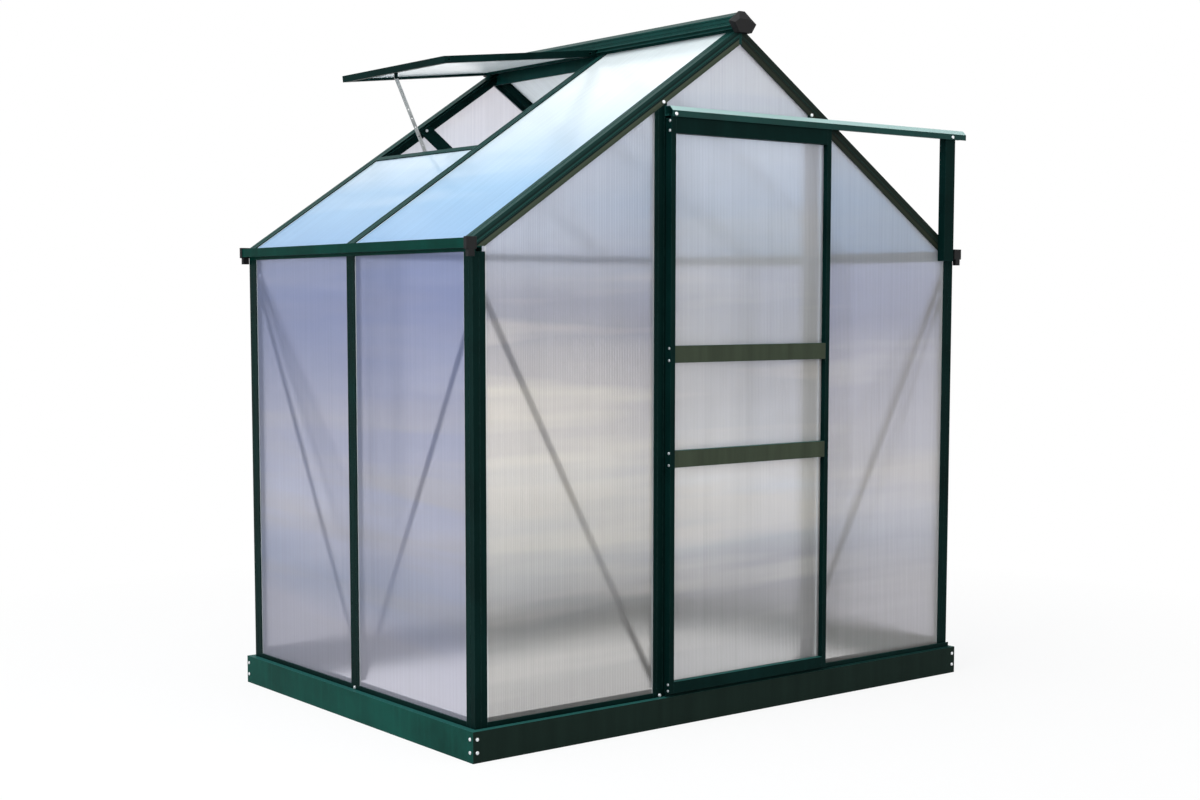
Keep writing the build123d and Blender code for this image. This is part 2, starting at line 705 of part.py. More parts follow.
def make_wall_panels():
    z0 = BASE_HEIGHT + SILL_SLOT_FLOOR + EDGE_PLAY
    z1 = EAVE_SEAT - FLANGE - EDGE_PLAY
    x0 = -WALL_X + PANEL_IN
    y0 = -WALL_Y + POST_FACE - EDGE_IN
    y1 = -BAR_FACE / 2 + EDGE_IN
    side = block(x0, x0 + PANEL, y0, y1, z0, z1)
    node("wall_panels_left", side, rear_of(side))
    node("wall_panels_right", right_of(side), right_of(rear_of(side)))
    y0 = -WALL_Y + PANEL_IN
    under_rafter = above_roof(RAFTER_DEPTH - EDGE_IN)
    x0 = -WALL_X + POST_FACE - EDGE_IN
    x1 = -DOOR_POST_X - BAR_FACE / 2 + EDGE_IN
    gable = block(x0, x1, y0, y0 + PANEL, z0, APEX) - under_rafter
    rear_x1 = -REAR_POST_X - BAR_FACE / 2 + EDGE_IN
    rear_side = rear_of(block(x0, rear_x1, y0, y0 + PANEL, z0, APEX)) - under_rafter
    rear_half = REAR_POST_X - BAR_FACE / 2 + EDGE_IN
    half = DOORWAY_WIDTH / 2 + EDGE_IN
    web = RIDGE_WEB / 2 + FIT
    web_room = block(-web, web, -FAR, FAR, APEX - RIDGE_WEB_DROP - FIT, APEX + FAR)
    sill = HEADER_BOTTOM + SILL_SLOT_FLOOR + EDGE_PLAY
    top = block(-half, half, y0, y0 + PANEL, sill, APEX) - under_rafter - web_room
    middle = block(-rear_half, rear_half, y0, y0 + PANEL, z0, APEX) - under_rafter - web_room
    node("gable_panels_front", gable, right_of(gable), top)
    node("gable_panels_rear", rear_side, right_of(rear_side), rear_of(middle))


def vent_sill_start():
    """Distance down the slope to the upper edge of the vent's sill."""
    return HINGE_DOWN + VENT_LENGTH - VENT_SILL_LAP - VENT_SILL_WIDTH


def make_roof_panels():
    y0 = -WALL_Y + POST_FACE - EDGE_IN
    y1 = -BAR_FACE / 2 + EDGE_IN
    top = (RIDGE_WEB / 2 + WEB) / math.cos(SLOPE) + LEG * math.tan(SLOPE)
    bottom = (WALL_X + PANEL_DRIP) / math.cos(SLOPE)
    front = slope_prism(rect(y0, y1, PANEL_IN, PANEL_IN + PANEL), top, bottom)
    below_vent = vent_sill_start() + VENT_SILL_WIDTH - EDGE_IN
    rear_low = slope_prism(rect(-y1, -y0, PANEL_IN, PANEL_IN + PANEL), below_vent, bottom)
    node("roof_panels_left", front, rear_low)
    node("roof_panels_right", right_of(front), right_of(rear_of(front)))


# Roof vent, drawn closed and then turned open


def opened(shape):
    """Turn a closed vent piece open about the hinge line."""
    x, z = hinge_point()
    return shape.rotate(Axis((x, 0, z), (0, 1, 0)), VENT_OPEN)


def vent_spans():
    """Y of the vent's two sides."""
    return (BAR_FACE / 2 - VENT_SIDE_LAP, WALL_Y - POST_FACE + VENT_SIDE_LAP)


def vent_section(points):
    """Section of the vent drawn as distance down and up from the slope."""
    return polygon([roof_point(down, up) for down, up in points])


def make_vent():
    y0, y1 = vent_spans()
    low = VENT_LIFT
    high = VENT_LIFT + VENT_THICK
    slot_low = low + (VENT_THICK - SLOT) / 2
    slot_high = slot_low + SLOT
    start = HINGE_DOWN + VENT_TOP_GAP
    top_end = start + VENT_RAIL
    end = HINGE_DOWN + VENT_LENGTH
    bottom_start = end - VENT_RAIL
    top_face = vent_section([(start, low), (top_end, low), (top_end, slot_low),
                             (top_end - VENT_SLOT_DEPTH, slot_low), (top_end - VENT_SLOT_DEPTH, slot_high),
                             (top_end, slot_high), (top_end, high), (start, high)])
    neck_low = HINGE_UP - VENT_NECK / 2
    neck_high = HINGE_UP + VENT_NECK / 2
    top_face += vent_section([(HINGE_DOWN, neck_low), (start, neck_low),
                              (start, neck_high), (HINGE_DOWN, neck_high)])
    top_face += Pos(*hinge_point()) * Circle(BEAD_RADIUS)
    node("vent_top_rail", opened(along_y(top_face, y0, y1)))
    bottom_face = vent_section([(bottom_start, low), (end, low), (end, high), (bottom_start, high),
                                (bottom_start, slot_high), (bottom_start + VENT_SLOT_DEPTH, slot_high),
                                (bottom_start + VENT_SLOT_DEPTH, slot_low), (bottom_start, slot_low)])
    bottom = along_y(bottom_face, y0, y1) + stay_lug(slot_low)
    node("vent_bottom_rail", opened(bottom))
    rails = []
    for edge, inward in ((y0, 1), (y1, -1)):
        across = sorted((edge, edge + inward * VENT_RAIL))
        slot = sorted((edge + inward * (VENT_RAIL - VENT_SLOT_DEPTH), edge + inward * VENT_RAIL))
        face = rect(across[0], across[1], -high, -low) - rect(slot[0], slot[1], -slot_high, -slot_low)
        rails.append(opened(slope_prism(face, top_end, bottom_start)))
    node("vent_side_rails", *rails)
    inset = VENT_SLOT_DEPTH - EDGE_PLAY
    sheet = rect(y0 + VENT_RAIL - inset, y1 - VENT_RAIL + inset,
                 -slot_high + PANEL_PLAY, -slot_low - PANEL_PLAY)
    panel = slope_prism(sheet, top_end - inset, bottom_start + inset)
    node("vent_panel", opened(panel))


def stay_pivot():
    """Distance down and up from the slope of the stay's pivot with the vent closed."""
    return (HINGE_DOWN + VENT_LENGTH - STAY_PIVOT_BACK, -STAY_PIVOT_DROP)


def stay_middle():
    """Y of the middle of the stay."""
    return sum(vent_spans()) / 2 + STAY_OFFSET


def stay_lug(sheet_low):
    """Lug under the vent's bottom rail, with the pin that carries the stay."""
    down, up = stay_pivot()
    y = stay_middle()
    half = STAY_WIDTH / 2
    ear_y = y - STAY_THICK / 2 - FIT
    rail_start = HINGE_DOWN + VENT_LENGTH - VENT_RAIL
    plate = vent_section([(down - half, sheet_low - LUG_PLATE), (rail_start + WEB, sheet_low - LUG_PLATE),
                          (rail_start + WEB, sheet_low - FIT), (down - half, sheet_low - FIT)])
    lug = along_y(plate, ear_y - LUG_EAR - STAY_WIDTH, y + STAY_WIDTH)
    ear = vent_section([(down - half, sheet_low - LUG_PLATE), (down - half, up), (down + half, up),
                        (down + half, sheet_low - LUG_PLATE)])
    ear += Pos(*roof_point(down, up)) * Circle(half)
    lug += along_y(ear, ear_y - LUG_EAR, ear_y)
    pin = Pos(*roof_point(down, up)) * Circle(STAY_PIN)
    head = Pos(*roof_point(down, up)) * Circle(STAY_PIN + WEB)
    head_y = y + STAY_THICK / 2 + FIT
    lug += along_y(pin, ear_y, head_y)
    lug += along_y(head, head_y, head_y + WEB)
    return lug


def stay_frame():
    """X and Z of the stay's pivot with the vent open, and the stay's direction."""
    pivot_x, pivot_z = roof_point(*stay_pivot())
    x, z = hinge_point()
    turn = math.radians(VENT_OPEN)
    dx = pivot_x - x
    dz = pivot_z - z
    pivot = (x + dx * math.cos(turn) + dz * math.sin(turn), z - dx * math.sin(turn) + dz * math.cos(turn))
    lean = math.radians(STAY_LEAN)
    return pivot, (math.sin(lean), -math.cos(lean))


def on_stay(along, across):
    """X and Z of a point of the open stay."""
    pivot, direction = stay_frame()
    x = pivot[0] + along * direction[0] - across * direction[1]
    z = pivot[1] + along * direction[1] + across * direction[0]
    return (x, z)


def make_stay():
    y = stay_middle()
    half = STAY_WIDTH / 2
    face = polygon([on_stay(0, -half), on_stay(STAY_LENGTH, -half),
                    on_stay(STAY_LENGTH, half), on_stay(0, half)])
    face += Pos(*on_stay(0, 0)) * Circle(half)
    face += Pos(*on_stay(STAY_LENGTH, 0)) * Circle(half)
    face -= Pos(*on_stay(0, 0)) * Circle(STAY_PIN + STAY_PIN_PLAY)
    for index in range(STAY_HOLE_COUNT):
        face -= Pos(*on_stay(PEG_ALONG - index * STAY_HOLE_PITCH, 0)) * Circle(STAY_HOLE)
    node("vent_stay", along_y(face, y - STAY_THICK / 2, y + STAY_THICK / 2))


def make_vent_sill():
    start = vent_sill_start()
    end = start + VENT_SILL_WIDTH
    face = vent_section([(start, -VENT_SILL_DEPTH), (start + WEB, -VENT_SILL_DEPTH), (start + WEB, -LEG),
                         (end, -LEG), (end, -FLANGE - SLOT), (end - SLOT_DEPTH, -FLANGE - SLOT),
                         (end - SLOT_DEPTH, -FLANGE), (end, -FLANGE), (end, 0), (start, 0)])
    node("vent_sill", along_y(face, BAR_FACE / 2, WALL_Y - POST_FACE))
    y = stay_middle() + STAY_THICK / 2
    ear_y = y + FIT + WEB + PEG_STANDOFF
    peg_x, peg_z = on_stay(PEG_ALONG, 0)
    wall_top = -LEG - FLANGE
    ear = polygon([roof_point(start, wall_top), roof_point(start, -VENT_SILL_DEPTH),
                   on_stay(PEG_ALONG + STAY_PIN + WEB, 0), on_stay(PEG_ALONG - STAY_PIN - WEB, 0)])
    ear += Pos(peg_x, peg_z) * Circle(STAY_PIN + WEB)
    bracket = along_y(ear, ear_y, ear_y + PEG_EAR)
    plate = vent_section([(start - WEB, wall_top), (start, wall_top),
                          (start, -VENT_SILL_DEPTH), (start - WEB, -VENT_SILL_DEPTH)])
    bracket += along_y(plate, ear_y, ear_y + STAY_WIDTH + PEG_EAR)
    bracket += along_y(Pos(peg_x, peg_z) * Circle(STAY_PIN), y + FIT, ear_y)
    node("stay_peg_bracket", bracket)


# Sliding door, its track and its hangers


def door_section(inner_width, slots):
    """Hollow member of a face width, with sheet slots on the named edges, drawn as width and depth."""
    face = rect(0, inner_width, 0, DOOR_THICK)
    low = DOOR_SLOT + STILE_WALL if "low" in slots else STILE_WALL
    high = inner_width - (DOOR_SLOT + STILE_WALL if "high" in slots else STILE_WALL)
    face -= rect(low, high, STILE_WALL, DOOR_THICK - STILE_WALL)
    slot = (DOOR_PANEL_BACK - PANEL_PLAY, DOOR_PANEL_BACK + PANEL + PANEL_PLAY)
    if "low" in slots:
        face -= rect(0, DOOR_SLOT, *slot)
    if "high" in slots:
        face -= rect(inner_width - DOOR_SLOT, inner_width, *slot)
    return face


def door_rails():
    """Bottom, height and slot edges of the four rails, from the bottom up."""
    return [(DOOR_BOTTOM, BOTTOM_RAIL, ("high",)),
            (MID_RAIL_LOW, MID_RAIL, ("low", "high")),
            (MID_RAIL_HIGH, MID_RAIL, ("low", "high")),
            (DOOR_TOP - TOP_RAIL, TOP_RAIL, ("low",))]


def door_screw_places():
    """Place and inward direction of the screws through the stiles' outer sides into the rails."""
    places = []
    for bottom, height, _ in door_rails():
        for z in (bottom + DOOR_SCREW_EDGE, bottom + height - DOOR_SCREW_EDGE):
            for side in (-1, 1):
                x = DOOR_OFFSET + side * DOOR_WIDTH / 2
                places.append(((x, -DOOR_FRONT + DOOR_SCREW_BACK, z), (-side, 0, 0)))
    return places


def guide_fin():
    """Y of the guide fin's two faces."""
    outer = -WALL_Y - GUIDE_FIN_BACK
    return (outer - GUIDE_SHEET, outer)


def make_door():
    half = DOOR_WIDTH / 2
    inner = half - STILE_WIDTH
    lip_top = DOOR_TOP + DOOR_LIP
    fin = guide_fin()
    slot_top = DOOR_BOTTOM + GUIDE_SLOT_HEIGHT
    guide_slot = block(-FAR, FAR, fin[0] - GUIDE_PLAY, fin[1] + GUIDE_PLAY, 0, slot_top)
    drills = Part()
    screws = []
    for place, direction in door_screw_places():
        drills += hole(place, direction, DOOR_SCREW_RADIUS + BOLT_PLAY / 2, DOOR_SCREW_LENGTH + BOLT_PLAY)
        screw = screw_solid(DOOR_SCREW_RADIUS, DOOR_SCREW_HEAD, DOOR_SCREW_HEAD_HEIGHT, DOOR_SCREW_LENGTH)
        screws.append(aim(place, direction) * screw)
    section = door_section(STILE_WIDTH, ("high",))
    stile = upright((-half, -DOOR_FRONT), (1, 0, 0), section, DOOR_BOTTOM, DOOR_TOP)
    stile += upright((-half, -DOOR_FRONT), (1, 0, 0), rect(0, STILE_WIDTH, 0, STILE_WALL), DOOR_TOP, lip_top)
    stile = stile - guide_slot
    shift = Pos(DOOR_OFFSET, 0, 0)
    node("door_stiles", shift * stile - drills, shift * right_of(stile) - drills)
    rails = []
    for bottom, height, slots in door_rails():
        end = Plane((-inner, -DOOR_FRONT, bottom), x_dir=(0, 0, 1), z_dir=(-1, 0, 0))
        rails.append(prism(end, door_section(height, slots), -2 * inner) - guide_slot)
    rails[-1] += block(-inner, inner, -DOOR_FRONT, -DOOR_FRONT + STILE_WALL, DOOR_TOP, lip_top)
    node("door_rails", *[shift * rail - drills for rail in rails])
    node("door_screws", *screws)
    sheet_y = -DOOR_FRONT + DOOR_PANEL_BACK
    sheets = []
    levels = door_rails()
    for lower, upper in zip(levels[:-1], levels[1:]):
        z0 = lower[0] + lower[1] - DOOR_EDGE_IN
        z1 = upper[0] + DOOR_EDGE_IN
        reach = inner + DOOR_EDGE_IN
        sheets.append(shift * block(-reach, reach, sheet_y, sheet_y + PANEL, z0, z1))
    node("door_panels", *sheets)


def outward(distance):
    """Y of a point at a distance in front of the front wall."""
    return -WALL_Y - distance


def roller_height():
    """Height of the roller axles."""
    return LEDGE_TOP + ROLLER_LIFT + ROLLER_RADIUS


def make_hangers():
    hangers = []
    for name, side in (("door_roller_left", -1), ("door_roller_right", 1)):
        x = DOOR_OFFSET + side * ROLLER_SPREAD
        z = roller_height()
        tyre = hole((x, outward(ROLLER_BACK), z), (0, -1, 0), ROLLER_RADIUS, ROLLER_WIDTH)
        tyre = chamfer(tyre.edges(), WEB / 4)
        bore = hole((x, outward(0), z), (0, -1, 0), AXLE_RADIUS + AXLE_PLAY, TRACK_DEPTH)
        node(name, tyre - bore)
        plate_back = outward(HANGER_BACK)
        plate_front = outward(HANGER_BACK + HANGER_SHEET)
        half = HANGER_WIDTH / 2
        hanger = block(x - half, x + half, plate_front, plate_back, DOOR_TOP, z + COLLAR_RADIUS + WEB)
        foot_back = plate_back + HANGER_FOOT
        hanger += block(x - half, x + half, plate_front, foot_back, DOOR_TOP, DOOR_TOP + HANGER_SHEET)
        start = (x, outward(ROLLER_BACK - FIT), z)
        hanger += hole(start, (0, -1, 0), AXLE_RADIUS, HANGER_BACK - ROLLER_BACK + FIT)
        collar_start = ROLLER_BACK + ROLLER_WIDTH + FIT
        collar = (x, outward(collar_start), z)
        hanger += hole(collar, (0, -1, 0), COLLAR_RADIUS, HANGER_BACK - collar_start)
        hangers.append(hanger)
    node("door_hangers", *hangers)


def hood_face():
    """Top and front wall of the track, with a sloped front edge, drawn as Y and Z."""
    cut = HOOD_CHAMFER
    inner_cut = HOOD_CHAMFER - TRACK_WALL * (2 - math.sqrt(2))
    inner = TRACK_DEPTH - TRACK_WALL
    low = TRACK_TOP - TRACK_WALL
    return polygon([(outward(0), TRACK_TOP), (outward(TRACK_DEPTH - cut), TRACK_TOP),
                    (outward(TRACK_DEPTH), TRACK_TOP - cut), (outward(TRACK_DEPTH), TRACK_TOP - HOOD_DROP),
                    (outward(inner), TRACK_TOP - HOOD_DROP), (outward(inner), low - inner_cut),
                    (outward(inner - inner_cut), low), (outward(0), low)])


def hood_bolt_places():
    """Bolts on the track's front wall: one at its left end and one at the support."""
    z = TRACK_TOP - HOOD_DROP + BOLT_HEAD + WEB
    support = support_left() + SUPPORT_WIDTH / 2
    ends = (HOOD_BOLT_EDGE - TRACK_LEFT, support)
    return [((x, outward(TRACK_DEPTH), z), (0, 1, 0)) for x in ends]


def make_track():
    back = outward(0)
    face = rect(back - TRACK_WALL, back, LEDGE_BOTTOM, TRACK_TOP)
    face += hood_face()
    face += rect(back - LEDGE_REACH, back, LEDGE_BOTTOM, LEDGE_TOP)
    rib = back - LEDGE_REACH
    face += rect(rib, rib + LEDGE_RIB_WIDTH, LEDGE_TOP, LEDGE_TOP + LEDGE_RIB_HEIGHT)
    track = along_x(face, -TRACK_LEFT, TRACK_RIGHT)
    for place, direction in hood_bolt_places():
        track -= hole(place, direction, BOLT_RADIUS + BOLT_PLAY, TRACK_WALL)
    node("door_track", track)
    stops = []
    clear = ROLLER_RADIUS + STOP_GAP
    rib_room = LEDGE_REACH - LEDGE_RIB_WIDTH
    left_stop = DOOR_OFFSET - ROLLER_SPREAD - clear - STOP_LENGTH
    right_stop = DOOR_OFFSET + ROLLER_SPREAD + DOOR_TRAVEL + clear
    for x in (left_stop, right_stop):
        stops.append(block(x, x + STOP_LENGTH, outward(rib_room), outward(TRACK_WALL),
                           LEDGE_TOP, LEDGE_TOP + STOP_HEIGHT))
    node("track_stops", *stops)


def support_left():
    """X of the left edge of the post that carries the track's free end."""
    return WALL_X - SUPPORT_EDGE - SUPPORT_WIDTH


def make_support():
    x0 = support_left()
    x1 = x0 + SUPPORT_WIDTH
    face = rect(x0, x1, outward(SUPPORT_DEPTH), outward(SUPPORT_DEPTH - SUPPORT_SHEET))
    face += rect(x0, x0 + SUPPORT_SHEET, outward(SUPPORT_DEPTH), outward(0))
    face += rect(x1 - SUPPORT_SHEET, x1, outward(SUPPORT_DEPTH), outward(0))
    support = Pos(0, 0, EAVE_HEIGHT) * extrude(face, LEDGE_BOTTOM - EAVE_HEIGHT)
    tab_front = outward(TRACK_DEPTH - TRACK_WALL)
    tab_back = outward(SUPPORT_DEPTH - SUPPORT_SHEET)
    tab_top = TRACK_TOP - HOOD_CHAMFER - TRACK_WALL
    support += block(x0, x1, tab_front, tab_back, LEDGE_BOTTOM - SUPPORT_SHEET, tab_top)
    for place, direction in hood_bolt_places():
        support -= hole(place, direction, BOLT_RADIUS + BOLT_PLAY, SUPPORT_DEPTH)
    node("track_support", support)
    fin = guide_fin()
    strip = rect(outward(GUIDE_FLANGE), outward(GUIDE_BACK), BASE_HEIGHT, BASE_HEIGHT + GUIDE_SHEET)
    strip += rect(fin[0], fin[1], BASE_HEIGHT, BASE_HEIGHT + GUIDE_FIN_HEIGHT)
    node("door_bottom_guide", along_x(strip, DOOR_OFFSET - DOOR_WIDTH / 2, WALL_X))


# Braces and bolts


def brace_ends():
    """Upper and lower bolts of the left braces: front and rear gable (X, Z), and wall (Y, Z)."""
    upper = LEG + (FRAME_DEPTH - LEG) / 2
    corner = (-WALL_X + upper, GABLE_BRACE_TOP)
    front = (corner, (-DOOR_POST_X, BRACE_FOOT))
    rear = (corner, (-REAR_POST_X, BRACE_FOOT))
    wall = ((-WALL_Y + upper, WALL_BRACE_TOP), (-BRACE_WIDTH / 2 - FIT, BRACE_FOOT))
    return front, rear, wall


def brace_strip(start, end):
    """Flat strip between two bolts, with a hole for each."""
    run = (end[0] - start[0], end[1] - start[1])
    length = math.hypot(*run)
    along = (run[0] / length, run[1] / length)
    half = BRACE_WIDTH / 2
    points = []
    for base, reach in ((start, -BRACE_END), (end, BRACE_END)):
        sides = (-half, half) if reach < 0 else (half, -half)
        for side in sides:
            u = base[0] + reach * along[0] - side * along[1]
            v = base[1] + reach * along[1] + side * along[0]
            points.append((u, v))
    strip = polygon(points)
    for place in (start, end):
        strip -= Pos(*place) * Circle(BOLT_RADIUS + BOLT_PLAY)
    return strip


def make_braces():
    front_ends, rear_ends, wall_ends = brace_ends()
    y0 = -WALL_Y + FRAME_DEPTH
    inside = block(-WALL_X + LEG + FIT, 0, -FAR, FAR, -FAR, FAR)
    front = along_y(brace_strip(*front_ends), y0, y0 + BRACE_THICK) & inside
    rear = along_y(brace_strip(*rear_ends), -y0 - BRACE_THICK, -y0) & inside
    x0 = -WALL_X + FRAME_DEPTH
    wall = along_x(brace_strip(*wall_ends), x0, x0 + BRACE_THICK)
    wall &= block(-FAR, FAR, -WALL_Y + LEG + FIT, -FIT, -FAR, FAR)
    node("braces_left", wall, rear_of(wall))
    node("braces_right", right_of(wall), right_of(rear_of(wall)))
    node("braces_front", front, right_of(front))
    reach = WALL_X - FRAME_DEPTH - FIT
    crossbar_top = CROSSBAR_BOTTOM + CROSSBAR_HEIGHT
    crossbar = block(-reach, reach, -y0 - BRACE_THICK, -y0, CROSSBAR_BOTTOM, crossbar_top)
    node("braces_rear", rear, right_of(rear), crossbar - strut_drills())


def brace_bolt_places():
    """Bolts of the left braces from inside the house: of the front gable, the rear gable and the wall."""
    front_ends, rear_ends, wall_ends = brace_ends()
    y = -WALL_Y + FRAME_DEPTH + BRACE_THICK
    x = -WALL_X + FRAME_DEPTH + BRACE_THICK
    front = [((end[0], y, end[1]), (0, -1, 0)) for end in front_ends]
    rear = [((end[0], -y, end[1]), (0, 1, 0)) for end in rear_ends]
    wall = [((x, end[0], end[1]), (-1, 0, 0)) for end in wall_ends]
    return front, rear, wall


BRACE_BOLT_LENGTH = BRACE_THICK + WEB + FLANGE


def make_bolts():
    bolts = []
    brace_bolt = bolt_solid(BRACE_BOLT_LENGTH)
    front, rear, wall = brace_bolt_places()
    for place, direction in front + rear:
        bolt = aim(place, direction) * brace_bolt
        bolts += [bolt, right_of(bolt)]
    for place, direction in wall:
        bolts += four_corners(aim(place, direction) * brace_bolt)
    for place, direction in strut_bolt_places():
        bolts.append(aim(place, direction) * bolt_solid(STRUT_BOLT_LENGTH))
    for place, direction in FOOT_BOLTS:
        bolts.append(aim(place, direction) * bolt_solid(FOOT_BOLT_LENGTH))
    for place, direction in hood_bolt_places():
        bolts.append(aim(place, direction) * bolt_solid(TRACK_WALL + SUPPORT_SHEET))
    for place, direction in rafter_bolt_places():
        bolts.append(aim(place, direction) * bolt_solid(LEG))
    node("frame_bolts", *bolts)


def corner_brace_drills():
    """Holes of the corner post for the brace bolts."""
    drills = Part()
    front, _, wall = brace_bolt_places()
    for place, direction in front + wall:
        drills += hole(place, direction, BOLT_RADIUS + BOLT_PLAY, BRACE_BOLT_LENGTH + BOLT_PLAY)
    return drills


def main():
    drills = foot_holes()
    make_base()
    make_sills(drills)
    make_posts(drills, corner_brace_drills())
    make_header()
    make_eaves()
    make_ridge()
    make_rafters()
    make_wall_panels()
    make_roof_panels()
    make_vent()
    make_stay()
    make_vent_sill()
    make_door()
    make_hangers()
    make_track()
    make_support()
    make_braces()
    make_bolts()
    os.makedirs("parts", exist_ok=True)
    for name, solids in NODES.items():
        shape = solids[0] if len(solids) == 1 else Compound(children=[Part() + solid for solid in solids])
        export_step(shape, f"parts/{name}.step")


main()
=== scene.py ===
import json
import math
from collections import namedtuple

import bmesh
import bpy
from mathutils import Euler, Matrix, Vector


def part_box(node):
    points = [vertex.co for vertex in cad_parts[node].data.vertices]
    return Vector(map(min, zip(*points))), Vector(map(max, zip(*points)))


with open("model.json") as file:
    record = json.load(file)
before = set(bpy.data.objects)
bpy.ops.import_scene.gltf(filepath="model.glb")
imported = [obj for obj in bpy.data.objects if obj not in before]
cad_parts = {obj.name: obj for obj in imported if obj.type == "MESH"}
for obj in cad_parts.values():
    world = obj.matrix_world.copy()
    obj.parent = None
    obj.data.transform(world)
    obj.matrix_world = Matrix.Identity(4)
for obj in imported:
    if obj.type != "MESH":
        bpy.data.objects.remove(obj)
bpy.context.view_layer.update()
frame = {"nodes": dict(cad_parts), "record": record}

bl_info = {
    "name": "Walk-in Greenhouse",
    "version": (1, 0, 0),
    "blender": (4, 5, 0),
    "location": "View3D > Sidebar > Greenhouse",
    "description": "Finishes, fixings and studio of a walk-in greenhouse",
    "category": "Object",
}

FULL_TURN = 2 * math.pi
WHITE = (1.0, 1.0, 1.0, 1.0)


def nodes_of_slot(slot):
    """CAD nodes that take their finish from one slot of the record."""
    return [part["node"] for part in frame["record"]["subparts"] if part["material_slot"] == slot]


# Settings that a user would change


class GreenhouseFinish(bpy.types.PropertyGroup):
    """Colours and textures of the greenhouse's materials."""

    coat_green: bpy.props.FloatVectorProperty(
        name="Coat Green", description="Powder coat of the aluminium frame",
        subtype="COLOR", size=4, default=(0.0016, 0.012, 0.0105, 1.0))
    # Painted warm light: the lighter olive tone on the front faces of the door's middle rails
    rail_painted_warm_light: bpy.props.FloatVectorProperty(
        name="Rail Green", description="Lighter olive coat of the door's middle rails",
        subtype="COLOR", size=4, default=(0.046, 0.058, 0.039, 1.0))
    # Painted warm light: the olive tone on the gable faces of the front rafters
    rafter_painted_warm_light: bpy.props.FloatVectorProperty(
        name="Rafter Green", description="Coat of the gable faces of the front rafters",
        subtype="COLOR", size=4, default=(0.024, 0.031, 0.021, 1.0))
    # Painted light: a lighter, greener copy of the frame's coat for the ridge and the door track, which
    # stand more in the light
    roof_green_painted_light: bpy.props.FloatVectorProperty(
        name="Roof Green", description="Coat of the ridge and the door track, more in the light",
        subtype="COLOR", size=4, default=(0.004, 0.036, 0.031, 1.0))
    base_green: bpy.props.FloatVectorProperty(
        name="Base Green", description="Powder coat of the steel base",
        subtype="COLOR", size=4, default=(0.005, 0.046, 0.035, 1.0))
    # Painted shade: darker tone on the front faces of the base, which turn away from the light
    base_front_painted_shade: bpy.props.FloatVectorProperty(
        name="Base Shade", description="Darker front of the steel base",
        subtype="COLOR", size=4, default=(0.0095, 0.019, 0.015, 1.0))
    # Painted light: a lighter, greener copy of the frame's coat for the eave gutters, which stand more in
    # the light
    eave_green_painted_light: bpy.props.FloatVectorProperty(
        name="Eave Green", description="Powder coat of the eave gutters, more in the light",
        subtype="COLOR", size=4, default=(0.0018, 0.028, 0.021, 1.0))
    # Painted highlight: the pale coat that faces turned up take, standing in for the bright sky that they
    # reflect
    coat_painted_highlight: bpy.props.FloatVectorProperty(
        name="Lit Coat", description="Coat on faces turned up to the light",
        subtype="COLOR", size=4, default=(0.02, 0.1, 0.088, 1.0))
    # Painted highlight: the pale top of the door track
    track_painted_highlight: bpy.props.FloatVectorProperty(
        name="Lit Track", description="Top of the door track, bright in the light",
        subtype="COLOR", size=4, default=(0.36, 0.52, 0.5, 1.0))
    coat_worn: bpy.props.FloatVectorProperty(
        name="Worn Coat", description="Coat rubbed lighter along the edges",
        subtype="COLOR", size=4, default=(0.05, 0.12, 0.11, 1.0))
    cap_black: bpy.props.FloatVectorProperty(
        name="Cap Black", description="Moulded end caps",
        subtype="COLOR", size=4, default=(0.008, 0.0082, 0.0088, 1.0))
    zinc: bpy.props.FloatVectorProperty(
        name="Zinc", description="Plated screws, bolts and door hangers",
        subtype="COLOR", size=4, default=(0.78, 0.8, 0.82, 1.0))
    mill_grey: bpy.props.FloatVectorProperty(
        name="Mill Grey", description="Bare aluminium of the vent's stay and its peg bracket",
        subtype="COLOR", size=4, default=(0.38, 0.38, 0.37, 1.0))
    # Partly painted shade: the braces' dull aluminium, made darker for braces seen against the light
    brace_grey: bpy.props.FloatVectorProperty(
        name="Brace Grey", description="Dull strips of the braces",
        subtype="COLOR", size=4, default=(0.03, 0.032, 0.036, 1.0))
    nylon: bpy.props.FloatVectorProperty(
        name="Nylon", description="Door rollers",
        subtype="COLOR", size=4, default=(0.72, 0.7, 0.64, 1.0))
    rubber: bpy.props.FloatVectorProperty(
        name="Rubber", description="Stops in the door track",
        subtype="COLOR", size=4, default=(0.018, 0.018, 0.02, 1.0))
    flute_pitch: bpy.props.FloatProperty(
        name="Flute Pitch", description="Distance between the ribs of the twin-wall sheet",
        unit="LENGTH", default=0.0058)
    wall_clearness: bpy.props.FloatProperty(
        name="Wall Clearness", description="Share of the view that passes through a wall sheet",
        subtype="FACTOR", default=0.62)
    door_clearness: bpy.props.FloatProperty(
        name="Door Clearness", description="Share of the view that passes through a door sheet",
        subtype="FACTOR", default=0.48)
    roof_clearness: bpy.props.FloatProperty(
        name="Roof Clearness", description="Share of the view that passes through a roof sheet",
        subtype="FACTOR", default=0.2)
    vent_clearness: bpy.props.FloatProperty(
        name="Vent Clearness", description="Share of the view that passes through the vent's sheet",
        subtype="FACTOR", default=0.45)


